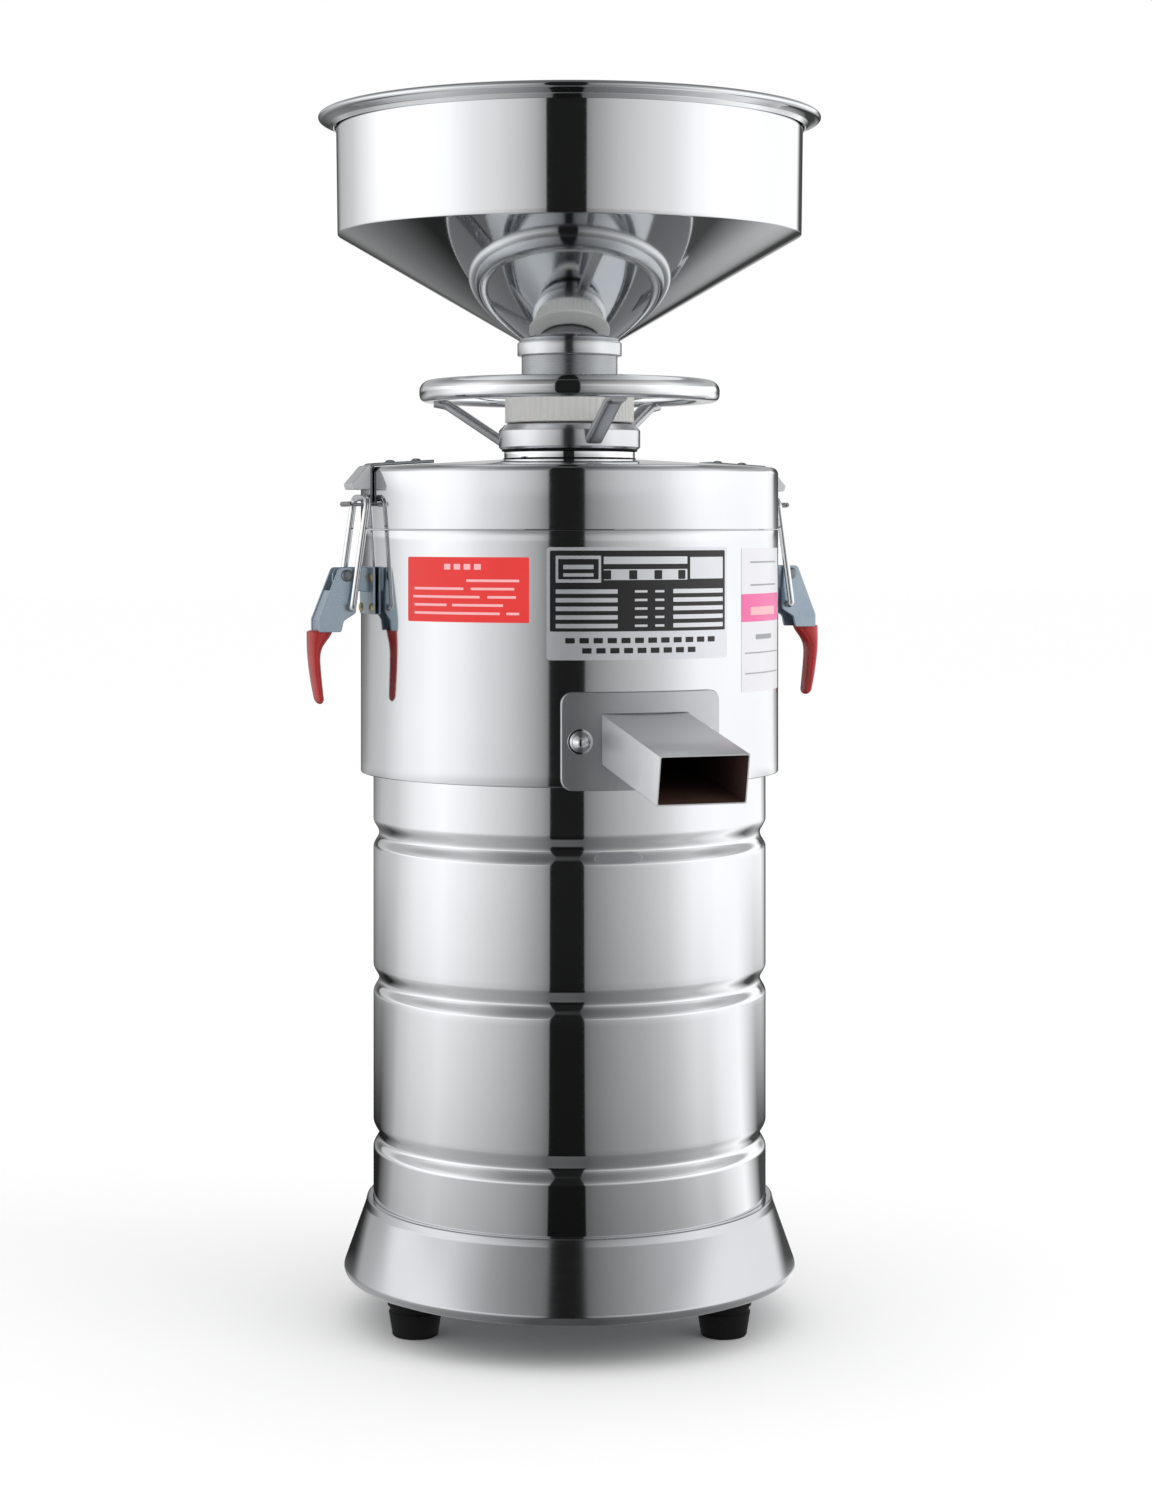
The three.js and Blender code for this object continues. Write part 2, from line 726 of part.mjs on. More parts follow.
// Lid with its gasket, the collar whose keys stop the sleeve turning, and the latch keepers
function addLid() {
  const inner = chamberRadius - sheet;
  const corner = [chamberRadius - lidEdgeRadius, lidTop - lidEdgeRadius];
  const lid = [
    [inner, chamberTop],
    [chamberRadius, chamberTop],
    ...arc(corner, lidEdgeRadius, 0, quarterTurn, lidEdgeSteps),
    [collarRadius, crownTop],
    [lidBore, crownTop],
    [lidBore, crownTop - sheet],
    [collarRadius, crownTop - sheet],
    [corner[0], lidTop - sheet],
    [inner, lidTop - lidEdgeRadius],
  ];
  addPart('lid', turned(lid, ringSides), brushed);
  const gasketOuter = inner - seat;
  const gasketTop = chamberTop + gasketHeight;
  const gasket = ring(gasketOuter - gasketWidth, gasketOuter, chamberTop, gasketTop, ringSides);
  addPart('lid_gasket', gasket, whiteNylon);

  const collarTop = collarBottom + collarHeight;
  const keyHalf = keyWidth / 2 - seat;
  const keyEdge = sleeveRadius - keyDepth + seat;
  const keys = [front, rear].map((azimuth) => facing(block(
    [keyEdge, -keyHalf, collarBottom],
    [lidBore + sleeveClearance, keyHalf, collarTop],
  ), azimuth));
  const collar = ring(lidBore, collarRadius, collarBottom, collarTop, coreSides);
  addPart('lid_collar', join(collar, ...keys), polished);

  const barHeight = chamberTop + barRise;
  const troughTop = barHeight - latchRod - barGap;
  const lipInner = latchFace + barOut + keeperLipOut;
  const strapEnd = latchFace - keeperReach;
  const strapRise = (keeperReach * lidCrown) / (corner[0] - collarRadius);
  const strapFoot = lidTop + seat;
  const keeper = [
    [latchFace, troughTop - keeperSheet],
    [lipInner + keeperSheet, troughTop - keeperSheet],
    [lipInner + keeperSheet, barHeight - keeperLipDrop],
    [lipInner, barHeight - keeperLipDrop],
    [lipInner, troughTop],
    [latchFace + keeperSheet, troughTop],
    [latchFace + keeperSheet, strapFoot + keeperSheet],
    [strapEnd, strapFoot + strapRise + keeperSheet],
    [strapEnd, strapFoot + strapRise],
    [latchFace, strapFoot],
  ];
  addPair('keeper', () => radialPlate(keeper, keeperHalfWidth * 2), brushed);
}

// Adds a right copy facing +X and a left copy facing -X
function addPair(name, make, finish) {
  addPart(`${name}_right`, facing(make(), right), finish);
  addPart(`${name}_left`, facing(make(), left), finish);
}

// Handwheel: hub, rounded rim and three flat spokes that climb from the hub to under the rim
function addHandwheel() {
  const hub = [
    [sleeveRadius + sleeveClearance, hubBottom],
    [hubRadius, hubBottom],
    [hubRadius, hubTop - hubRound],
    [hubRadius - hubRound / 2, hubTop],
    [sleeveRadius + sleeveClearance, hubTop],
  ];
  addPart('handwheel_hub', turned(hub, coreSides), polished);
  const rimMiddle = wheelRadius - wheelHalfWidth;
  const rim = [];
  for (let side = 0; side < wheelSides; side += 1) {
    const angle = ((side + 1 / 2) * fullTurn) / wheelSides;
    const stretch = 1 / Math.cos(halfTurn / wheelSides);
    rim.push([
      rimMiddle + wheelHalfWidth * stretch * Math.cos(angle),
      wheelHeight + wheelHalfHeight * stretch * Math.sin(angle),
    ]);
  }
  addPart('handwheel_rim', turned(rim, ringSides), polished);
  const padTop = wheelHeight - wheelHalfHeight - seat;
  const padInner = rimMiddle - wheelHalfWidth / 2;
  const spoke = [
    [hubRadius + seat, hubBottom],
    [padInner, padTop - spokeThickness],
    [rimMiddle + spokeThickness, padTop - spokeThickness],
    [rimMiddle + spokeThickness, padTop],
    [padInner - spokeThickness / 2, padTop],
    [hubRadius + seat, hubBottom + spokeThickness * 2],
  ];
  spokeAzimuths.forEach((azimuth, index) => {
    addPart(`handwheel_spoke_${index + 1}`, facing(radialPlate(spoke, spokeWidth), azimuth), polished);
  });
}

// What the handwheel raises: the keyed sleeve, the feed tube with its flange, and the upper stone
function addStoneCarrier() {
  const feedOuter = neckRadius - sheet - seat;
  const sleeveBottom = crownTop - sleeveDrop;
  const sleeve = [
    [feedOuter + seat, sleeveBottom],
    [sleeveRadius, sleeveBottom],
    [sleeveRadius, headBottom],
    [headRadius, headBottom],
    [headRadius, headTop],
    [boreAround(neckRadius, coreSides), headTop],
    [boreAround(neckRadius, coreSides), shoulderHeight],
    [feedOuter + seat, shoulderHeight],
  ];
  const keyways = [front, rear].map((azimuth) => facing(block(
    [sleeveRadius - keyDepth, -keyWidth / 2, sleeveBottom - overrun],
    [sleeveRadius + sleeveClearance, keyWidth / 2, headBottom - seat],
  ), azimuth));
  addPart('keyed_sleeve', cut(turned(sleeve, coreSides), ...keyways), whiteNylon);
  const holderBottom = upperStoneTop + seat;
  const holder = [
    [feedOuter - feedWall, holderBottom],
    [stoneRadius, holderBottom],
    [stoneRadius, holderBottom + holderThickness],
    [feedOuter, holderBottom + holderThickness],
    [feedOuter, shoulderHeight],
    [feedOuter - feedWall, shoulderHeight],
  ];
  addPart('upper_stone_holder', turned(holder, coreSides), castMetal);
  const stone = stoneGeometry(stoneEyeRadius, upperStoneBottom, upperStoneTop, upperStoneBottom);
  addPart('upper_stone', stone, greyStone);
}

// Hopper: the neck runs into a cone, and the wall stands on the cone and ends in a bead that is
// rolled outwards with its edge left open below
function addHopper() {
  const seam = hopperFoot + coneHeight;
  const cone = [
    [neckRadius - sheet, shoulderHeight + seat],
    [neckRadius, shoulderHeight + seat],
    [neckRadius, hopperFoot],
    [bowlFootRadius, seam],
    [bowlFootRadius - sheet * 2, seam],
    [neckRadius - sheet, hopperFoot + sheet],
  ];
  addPart('hopper_cone', turned(cone, ringSides), polished);
  const beadMiddle = bowlTopRadius - sheet + beadHalfWidth;
  const beadEdge = beadMiddle + beadHalfWidth;
  const bowlTop = seam + bowlHeight;
  const oval = (halfWidth, halfHeight, start, end) => (
    arc([beadMiddle, 0], halfWidth, start, end, beadSteps).map(([radius, rise]) => (
      [radius, bowlTop + (rise * halfHeight) / halfWidth]
    ))
  );
  const bowl = [
    [bowlFootRadius - sheet, seam + seat],
    [bowlFootRadius, seam + seat],
    ...oval(beadHalfWidth - sheet, beadHalfHeight - sheet, halfTurn, 0),
    [beadEdge - sheet, bowlTop - beadHalfHeight],
    [beadEdge, bowlTop - beadHalfHeight],
    ...oval(beadHalfWidth, beadHalfHeight, 0, halfTurn),
  ];
  addPart('hopper_bowl', turned(bowl, ringSides), polished);
  const collarTop = hopperFoot - seat;
  const inner = boreAround(neckRadius, coreSides);
  const collar = ring(inner, inner + neckCollarWall, collarTop - neckCollarHeight, collarTop, coreSides);
  addPart('hopper_collar', collar, polished);
}

// A rod across the latch at a place [out, height], reaching equally to both sides
function crossRod(place, reach, radius) {
  return rod([place[0], -reach, place[1]], [place[0], reach, place[1]], radius, pinSides);
}

// Latches: bracket with two ears, pivot pin, handle with two cheeks, grip, and the U-shaped rod
function addLatches() {
  const pivot = [chamberRadius + pivotOut, chamberTop - pivotDrop];
  const trunnion = [chamberRadius + trunnionOut, chamberTop - trunnionDrop];
  const earOutside = earInside + earThickness;
  const cheekInside = earOutside + seat;
  const cheekOutside = cheekInside + cheekThickness;

  const bracket = () => {
    const top = chamberTop - bracketTopDrop;
    const bottom = chamberTop - bracketBottomDrop;
    const plate = block(
      [latchFace, -bracketHalfWidth, bottom],
      [latchFace + sheet, bracketHalfWidth, top],
    );
    const lug = [
      [latchFace + sheet / 2, pivot[1] - earRound * 2],
      ...arc(pivot, earRound, -quarterTurn, quarterTurn, earSteps),
      [latchFace + sheet / 2, pivot[1] + earRound],
    ];
    const shift = (earInside + earOutside) / 2;
    const ears = [-shift, shift].map((place) => radialPlate(lug, earThickness).translate(0, place, 0));
    return cut(join(plate, ...ears), crossRod(pivot, cheekOutside, pivotRadius + seat));
  };
  addPair('latch_bracket', bracket, brushed);

  const pin = () => {
    const reach = cheekOutside + seat;
    const shank = crossRod(pivot, reach, pivotRadius);
    const heads = [-1, 1].map((side) => rod(
      [pivot[0], side * reach, pivot[1]],
      [pivot[0], side * (reach + pivotHeadHeight), pivot[1]],
      pivotHead,
      pinSides,
    ));
    return join(shank, ...heads);
  };
  addPair('latch_pin', pin, plainSteel);

  const at = (out, drop) => [chamberRadius + out, chamberTop - drop];
  const top = at(handleTopOut, handleTopDrop);
  const low = at(handleLowOut, handleLowDrop);
  const handle = () => {
    const cheek = [
      at(handleTopIn, handleTopDrop),
      at(handleHeelOut, handleHeelDrop),
      at(handleLowIn, handleLowDrop),
      low,
      top,
    ];
    const shift = (cheekInside + cheekOutside) / 2;
    const cheeks = [-shift, shift].map((place) => (
      radialPlate(cheek, cheekThickness).translate(0, place, 0)
    ));
    const start = [top[0] + (low[0] - top[0]) * webShare, top[1] + (low[1] - top[1]) * webShare];
    const web = [
      start,
      [start[0] - cheekThickness, start[1]],
      [low[0] - cheekThickness * 2, low[1]],
      low,
    ];
    const pinHole = crossRod(pivot, cheekOutside + overrun, pivotRadius + seat);
    const rodHole = crossRod(trunnion, cheekOutside + overrun, latchRod + seat);
    return cut(join(...cheeks, radialPlate(web, cheekInside * 2 + cheekThickness)), pinHole, rodHole);
  };
  addPair('latch_handle', handle, zincPlate);

  const grip = [
    [low[0], low[1] - seat],
    [chamberRadius + handleLowIn, low[1] - seat],
    at(gripWaistOut - gripWaistWidth, gripWaistDrop),
    at(gripTipOut - gripTipWidth, gripTipDrop),
    at(gripTipOut, gripTipDrop),
    at(gripWaistOut, gripWaistDrop),
  ];
  addPair('latch_grip', () => radialPlate(grip, gripHalfWidth * 2), redVinyl);

  const bar = [chamberRadius + barOut + seat, chamberTop + barRise];
  const uBolt = () => {
    const lean = new THREE.Vector2(bar[0] - trunnion[0], bar[1] - trunnion[1]).normalize();
    const past = [lean.x * latchRod, lean.y * latchRod];
    const across = rodOffset + latchRod;
    const legs = [-1, 1].map((side) => rod(
      [trunnion[0] - past[0], side * rodOffset, trunnion[1] - past[1]],
      [bar[0], side * rodOffset, bar[1]],
      latchRod,
      holeSides,
    ));
    const ends = [-1, 1].map((side) => rod(
      [trunnion[0], side * (cheekInside + seat), trunnion[1]],
      [trunnion[0], side * rodOffset, trunnion[1]],
      latchRod,
      holeSides,
    ));
    const cross = rod([bar[0], -across, bar[1]], [bar[0], across, bar[1]], latchRod, holeSides);
    return join(cross, ...legs, ...ends);
  };
  addPair('latch_u_bolt', uBolt, polished);
}

// Switch housing with its rocker, and the bare cable gland
function addFittings() {
  const height = skirtTop + drumHeight * fittingShare;
  const face = drumRadius + seat;
  const outer = face + switchDepth;
  const barrel = disc(face, height - switchHalfHeight * 2, height + switchHalfHeight * 2, ringSides);
  const shell = block(
    [face - overrun, -switchHalfWidth, height - switchHalfHeight],
    [outer, switchHalfWidth, height + switchHalfHeight],
  );
  const pocketWidth = switchHalfWidth - switchWall;
  const pocketHeight = switchHalfHeight - switchWall;
  const pocketBack = outer - rockerDepth - runningGap;
  const pocket = block(
    [pocketBack, -pocketWidth, height - pocketHeight],
    [outer + overrun, pocketWidth, height + pocketHeight],
  );
  const turn = switchAzimuth * degree - quarterTurn;
  barrel.rotateZ(-turn);
  addPart('switch_housing', facing(cut(shell, barrel, pocket), switchAzimuth), blackPlastic);

  const rockerHalf = pocketHeight - rockerGap;
  const rocker = [
    [outer - rockerDepth, height - rockerHalf / 2],
    [outer, height - rockerHalf],
    [outer + rockerRise, height - rockerHalf],
    [outer + rockerRise / 2, height],
    [outer + rockerRise, height + rockerHalf],
    [outer, height + rockerHalf],
    [outer - rockerDepth, height + rockerHalf / 2],
  ];
  const paddle = radialPlate(rocker, (pocketWidth - rockerGap) * 2);
  const pinPlace = outer - rockerDepth / 2;
  const pinReach = pocketWidth - seat;
  const pin = rod([pinPlace, -pinReach, height], [pinPlace, pinReach, height], rockerPin, pinSides);
  addPart('switch_rocker', facing(join(paddle, pin), switchAzimuth), redVinyl);

  const gland = [
    [glandBore, 0],
    [glandRadius, 0],
    [glandRadius, glandFlange],
    [glandNutRadius, glandFlange],
    [glandNutRadius, glandLength],
    [glandBore, glandLength],
  ];
  const glandGeometry = turned(gland, pinSides).rotateY(quarterTurn).translate(face, 0, height);
  addPart('cable_gland', facing(glandGeometry, glandAzimuth), blackPlastic);
}

addBase();
addDrum();
addMotor();
addChamber();
addOutlets();
addRotor();
addLid();
addHandwheel();
addStoneCarrier();
addHopper();
addLatches();
addFittings();

export default machine;
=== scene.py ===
from functools import partial
import bmesh
import bpy
import numpy as np
from math import acos, asin, cos, degrees, pi, radians, sin, tan
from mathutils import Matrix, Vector


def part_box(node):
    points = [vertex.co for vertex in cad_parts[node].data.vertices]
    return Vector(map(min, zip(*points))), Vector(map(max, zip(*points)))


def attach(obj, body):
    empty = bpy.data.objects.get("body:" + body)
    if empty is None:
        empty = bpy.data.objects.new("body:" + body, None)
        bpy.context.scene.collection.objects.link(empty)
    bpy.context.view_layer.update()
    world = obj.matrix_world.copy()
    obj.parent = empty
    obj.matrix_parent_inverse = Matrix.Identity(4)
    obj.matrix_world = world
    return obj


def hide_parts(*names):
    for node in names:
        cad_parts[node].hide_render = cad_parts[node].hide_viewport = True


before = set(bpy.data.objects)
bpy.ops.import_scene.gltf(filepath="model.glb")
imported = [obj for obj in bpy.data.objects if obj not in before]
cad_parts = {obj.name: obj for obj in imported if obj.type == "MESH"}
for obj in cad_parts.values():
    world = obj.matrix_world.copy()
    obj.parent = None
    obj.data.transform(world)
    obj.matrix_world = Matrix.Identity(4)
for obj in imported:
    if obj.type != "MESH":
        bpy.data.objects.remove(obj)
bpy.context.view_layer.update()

# Everything below is written in millimetres and becomes metres in one place, mesh_piece().
MM = 0.001
# Columns round most turned pieces, round the largest, and round those with fine detail
AROUND, WIDE_AROUND, FINE_AROUND = 288, 384, 720
FRONT, RIGHT, REAR, LEFT = 0, 90, 180, -90
SWITCH_AZIMUTH = 152
SHARP_ANGLE = 38
CAMERA_AZIMUTH = -20


def span(node):
    """Lowest and highest corner of a CAD node in millimetres."""
    low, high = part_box(node)
    return np.array(low) / MM, np.array(high) / MM


def extent(node):
    """Outer radius, bottom and top of a round CAD node."""
    low, high = span(node)
    return high[0], low[2], high[2]


# Materials


def linear(code):
    """An sRGB hex colour as linear light: values over 0.04045 follow ((v + 0.055) / 1.055) ^ 2.4."""
    value = np.array([int(code[i:i + 2], 16) for i in (1, 3, 5)]) / 255
    light = np.where(value > 0.04045, ((value + 0.055) / 1.055) ** 2.4, value / 12.92)
    return (*light, 1.0)


def add(tree, kind, inputs=None, **settings):
    """Adds a node, sets its properties, and gives each named or numbered input a value or a link."""
    made = tree.nodes.new(kind)
    for key, value in settings.items():
        setattr(made, key, value)
    for socket, value in (inputs or {}).items():
        if isinstance(value, bpy.types.NodeSocket):
            tree.links.new(value, made.inputs[socket])
        else:
            made.inputs[socket].default_value = value
    return made


def bare_tree(owner):
    """The emptied node tree of a material or world."""
    owner.use_nodes = True
    owner.node_tree.nodes.clear()
    return owner.node_tree


# The slot named for each finish unless its piece names another; seat() looks it up but uses it nowhere
SLOT = {}


def finish(name, slot, low, high, roughness, grain, stretch=(1, 1, 1), blotch=60.0, bump=0.1, depth=0.02,
        mapped=True, **shader):
    """A finish whose colour wanders between two hex values over patches of blotch millimetres, whose
    roughness wanders over grain millimetres, and whose bump has the same grain, depth millimetres deep.
    stretch lengthens the grain along each axis of the piece's own map, or of Object space."""
    material = bpy.data.materials.new(name)
    SLOT[name] = slot
    tree = bare_tree(material)
    place = add(tree, "ShaderNodeTexCoord")
    place = place.outputs["UV" if mapped else "Object"]
    patches = add(tree, "ShaderNodeTexNoise", {"Vector": place, "Scale": 1 / (blotch * MM), "Detail": 2.0})
    lines = add(tree, "ShaderNodeMapping", {"Vector": place, "Scale": tuple(1 / (grain * MM * length)
        for length in stretch)})
    fine = add(tree, "ShaderNodeTexNoise", {"Vector": lines.outputs[0], "Scale": 1.0, "Detail": 3.0,
        "Roughness": 0.6})
    # inputs 6 and 7 and output 2 of this node are its colours
    colour = add(tree, "ShaderNodeMix", {0: patches.outputs[0], 6: linear(low), 7: linear(high)},
        data_type="RGBA")
    rough = add(tree, "ShaderNodeMapRange", {"Value": fine.outputs[0], "From Min": 0.3, "From Max": 0.7,
        "To Min": roughness[0], "To Max": roughness[1]})
    relief = add(tree, "ShaderNodeBump", {"Height": fine.outputs[0], "Strength": bump,
        "Distance": depth * MM})
    body = add(tree, "ShaderNodeBsdfPrincipled", {"Base Color": colour.outputs[2],
        "Roughness": rough.outputs[0], "Normal": relief.outputs[0], **shader})
    add(tree, "ShaderNodeOutputMaterial", {"Surface": body.outputs[0]})
    return material


bare_metal = partial(finish, Metallic=1.0)

# Mirror-polished stainless sheet: nearly white, with hairlines left by the buffing wheel
mirror_steel = bare_metal("stainless_mirror_polished", "polished_sheet", "#d3d5d7", "#dcdee0",
    (0.035, 0.075), 0.5, (60, 1, 1), blotch=140, bump=0.02, depth=0.004)
# Satin stainless sheet: the same steel with brush lines that run round the machine
satin_steel = bare_metal("stainless_satin_brushed", "brushed_sheet", "#cfd1d4", "#dadcde", (0.05, 0.10),
    0.5, (90, 1, 1), blotch=90, bump=0.03, depth=0.005)
# Pressed stainless of the skirt: a greyer satin than the drum's
skirt_steel = bare_metal("stainless_satin_pressed", "polished_sheet", "#b6b8bb", "#bfc1c3", (0.10, 0.16),
    0.5, (90, 1, 1), blotch=90, bump=0.03, depth=0.005)
# Dull turned stainless: grey, so that its reflections only show as soft bands
dull_steel = bare_metal("stainless_turned_dull", "brushed_sheet", "#94979b", "#a2a5a8", (0.22, 0.32), 0.4,
    (40, 1, 1), blotch=30, bump=0.1, depth=0.008)
# Ground stainless: brighter than the dull one, still with blurred reflections
hub_steel = bare_metal("stainless_fine_ground", "polished_sheet", "#c2c4c7", "#cdcfd1", (0.14, 0.2), 0.4,
    (60, 1, 1), blotch=30, bump=0.05, depth=0.006)
# Mill-finish stainless sheet: light grey with broad soft reflections
mill_steel = finish("stainless_mill_finish", "brushed_sheet", "#c8cacd", "#d0d2d4", (0.3, 0.38), 0.5,
    blotch=40, bump=0.08, depth=0.008, Metallic=0.7)
# Yellow passivated zinc plate on the small rivets
yellow_zinc = finish("steel_yellow_zinc_plated", "brushed_sheet", "#a4925f", "#c4b27d", (0.25, 0.4), 0.8,
    blotch=2, bump=0.08, depth=0.01, mapped=False, Metallic=0.9)
# Stainless inside the outlets: brown-black, a painted shade for the unlit inside of each channel
shade_painted_steel = finish("stainless_painted_shade", None, "#33211b", "#4a3026", (0.5, 0.7), 0.8, blotch=12,
    bump=0.2, depth=0.02, Metallic=0.0)
# Bead-blasted stainless plate: even light grey with hardly a reflection
flange_steel = bare_metal("stainless_bead_blasted", "brushed_sheet", "#b4b6b9", "#c0c2c5", (0.32, 0.42),
    0.6, blotch=25, bump=0.15, depth=0.01)
# Chromed turned parts: brighter and cleaner than the sheet
chrome = bare_metal("steel_chrome_plated", "polished_sheet", "#dcdee0", "#e2e4e6", (0.03, 0.06), 0.6,
    (20, 1, 1), blotch=40, bump=0.02, depth=0.003)
# Cast aluminium: grey, with the grain of the sand mould
cast_aluminium = bare_metal("aluminium_sand_cast", "cast_metal", "#8e9194", "#a3a6a8", (0.45, 0.65), 1.2,
    blotch=20, bump=0.5, depth=0.12, mapped=False)
# Machined mild steel: darker, with fine tool marks
machined_steel = bare_metal("steel_machined", "plain_steel", "#7c8083", "#92969a", (0.30, 0.45), 0.5,
    blotch=25, bump=0.15, depth=0.02, mapped=False)
# Blue passivated zinc plate: pale blue-grey, a little cloudy
zinc_plate = finish("steel_blue_zinc_plated", "brushed_sheet", "#9dadbb", "#b3c2ce", (0.26, 0.36), 0.8,
    blotch=14, bump=0.05, depth=0.01, mapped=False, Metallic=0.85)
# Moulded rubber: near black with a soft sheen
rubber = finish("rubber_moulded", "black_rubber", "#09090a", "#101011", (0.7, 0.85), 0.6, blotch=15,
    bump=0.3, depth=0.05, mapped=False, **{"Specular IOR Level": 0.25})
# Dip-moulded vinyl: glossy deep red with a faint orange-peel skin
red_vinyl = finish("vinyl_dip_moulded", "red_vinyl", "#8f1210", "#b01c17", (0.26, 0.36), 2.5, blotch=18,
    bump=0.15, depth=0.08, mapped=False, **{"Coat Weight": 0.3, "Coat Roughness": 0.2})
# Natural nylon: milky white, slightly see-through at its edges
nylon = finish("nylon_turned", "white_nylon", "#dededa", "#e8e8e4", (0.36, 0.5), 0.7, (12, 1, 1), blotch=30,
    bump=0.1, depth=0.02, **{"Subsurface Weight": 0.15, "Subsurface Scale": 0.004})
# Dressed abrasive stone: grey-brown grit about a millimetre across
stone = finish("stone_dressed_abrasive", None, "#625e57", "#8b867c", (0.85, 0.98), 1.1, blotch=2.2,
    bump=0.8, depth=0.3, mapped=False)
# Moulded ABS: charcoal black with a spark-eroded grain
abs_plastic = finish("abs_moulded_black", "black_plastic", "#17181a", "#1f2022", (0.42, 0.55), 0.7,
    blotch=20, bump=0.2, depth=0.03, mapped=False)
# Deep-drawn aluminium can: plain silver with drawing lines along its length
drawn_aluminium = bare_metal("aluminium_deep_drawn", None, "#a4a7a9", "#b6b9bb", (0.35, 0.5), 0.8,
    (1, 1, 30), blotch=30, bump=0.1, depth=0.01, mapped=False)
# Printed vinyl film: flat colour under a thin gloss skin


def film(name, slot, low, high, roughness=(0.32, 0.40)):
    return finish(f"film_printed_{name}", slot, low, high, roughness, 1.5, blotch=25, bump=0.05, depth=0.01,
        **{"Specular IOR Level": 0.3})


red_film = film("red", "red_vinyl", "#dd2f2c", "#e33733", (0.30, 0.38))
white_film = film("white", "white_nylon", "#d9d9dd", "#dfdfe2")
pink_film = film("pink", "red_vinyl", "#e0629b", "#e66ca3")
pale_film = film("pale", "white_nylon", "#f0abb0", "#f4b8bc")
grey_film = film("grey", "white_nylon", "#8f9095", "#9b9ca1")
# Anodised and etched foil for the rating plate: satin silver with black fields
silver_foil = finish("foil_anodised_silver", "brushed_sheet", "#c9cbd0", "#d6d8dc", (0.28, 0.36), 0.4,
    (30, 1, 1), blotch=30, bump=0.05, depth=0.004, Metallic=0.7)
black_foil = finish("foil_anodised_black", "black_plastic", "#0f0f11", "#17171a", (0.32, 0.42), 0.4,
    (30, 1, 1), blotch=30, bump=0.05, depth=0.004)


# Shapes


def seat(name, mesh, material, body=None, nodes=(), slot=None):
    """An object of the mesh that rides on the body and stands for the nodes. slot is not used."""
    slot = slot or SLOT.get(material.name)
    mesh.materials.append(material)
    piece = bpy.data.objects.new(name, mesh)
    bpy.context.scene.collection.objects.link(piece)
    if body:
        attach(piece, body)
        if nodes:
            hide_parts(*nodes)
    return piece


def mesh_piece(name, points, parts, maps, material, body=None, nodes=(), slot=None):
    """Puts points in millimetres and faces, a list of index arrays of shape (faces, corners), into a
    mesh with a map in metres for each corner."""
    mesh = bpy.data.meshes.new(name)
    corners = np.concatenate([part.ravel() for part in parts]).astype(np.int32)
    sizes = np.concatenate([np.full(len(part), part.shape[1]) for part in parts])
    starts = np.concatenate([[0], np.cumsum(sizes)[:-1]]).astype(np.int32)
    mesh.vertices.add(len(points))
    mesh.vertices.foreach_set("co", (np.asarray(points, float) * MM).ravel())
    mesh.loops.add(len(corners))
    mesh.loops.foreach_set("vertex_index", corners)
    mesh.polygons.add(len(starts))
    mesh.polygons.foreach_set("loop_start", starts)
    mesh.update(calc_edges=True)
    if maps is not None:
        layer = mesh.uv_layers.new(name="surface")
        layer.data.foreach_set("uv", np.concatenate([m.reshape(-1, 2) for m in maps]).ravel() * MM)
    mesh.polygons.foreach_set("use_smooth", np.ones(len(starts), bool))
    mesh.set_sharp_from_angle(angle=radians(SHARP_ANGLE))
    mesh.validate()
    return seat(name, mesh, material, body, nodes, slot)


def outward(mesh, merge=0):
    """Makes a mesh's faces point outwards, after points closer than merge metres are joined."""
    work = bmesh.new()
    work.from_mesh(mesh)
    if merge:
        bmesh.ops.remove_doubles(work, verts=work.verts, dist=merge)
    bmesh.ops.recalc_face_normals(work, faces=work.faces)
    work.to_mesh(mesh)
    work.free()


def skin(grid, wrap_along=False, start=None, end=None):
    """Faces and maps of a grid of points, rows along by columns around. The outside is the side from
    which around x along points. start and end are poles that close the first and last row."""
    rows, columns = grid.shape[:2]
    i, j = np.meshgrid(np.arange(rows - (not wrap_along)), np.arange(columns), indexing="ij")
    i = i.ravel()[:, None] + [0, 0, 1, 1]
    j = j.ravel()[:, None] + [0, 1, 1, 0]
    quads = (i % rows) * columns + j % columns
    loop = np.concatenate([grid, grid[:1]]) if wrap_along else grid
    along = np.linalg.norm(np.diff(loop, axis=0), axis=2).mean(1)
    along = np.concatenate([[0], np.cumsum(along)])
    round_trip = np.linalg.norm(np.roll(grid, -1, axis=1) - grid, axis=2).sum(1).max()
    step = round_trip / columns
    points = grid.reshape(-1, 3)
    parts, maps = [quads], [np.stack([j * step, along[i]], axis=-1)]
    for pole, row, order in ((start, 0, (1, 0)), (end, rows - 1, (0, 1))):
        if pole is None:
            continue
        column = np.arange(columns)
        rim = row * columns + np.stack([column + order[0], column + order[1]], 1) % columns
        parts.append(np.column_stack([np.full(columns, len(points)), rim]))
        centre = np.stack([(column + 0.5) * step, np.full(columns, along[row])], -1)
        edge = [np.stack([(column + o) * step, np.full(columns, along[row])], -1) for o in order]
        maps.append(np.stack([centre, *edge], axis=1))
        points = np.vstack([points, np.asarray(pole, float)[None]])
    return points, parts, maps


def turn(points, azimuth):
    """Turns points made facing +X to an azimuth, in degrees from -Y towards +X."""
    angle = radians(azimuth - 90)
    spin = np.array([[cos(angle), sin(angle), 0], [-sin(angle), cos(angle), 0], [0, 0, 1]])
    return np.asarray(points, float) @ spin


def solid(name, grid, material, body, nodes=(), slot=None, closed=False, poles=(None, None), azimuth=None):
    """A piece from a grid that skin() covers, turned to its azimuth if it has one."""
    points, parts, maps = skin(grid, closed, *poles)
    if azimuth is not None:
        points = turn(points, azimuth)
    return mesh_piece(name, points, parts, maps, material, body, nodes, slot)


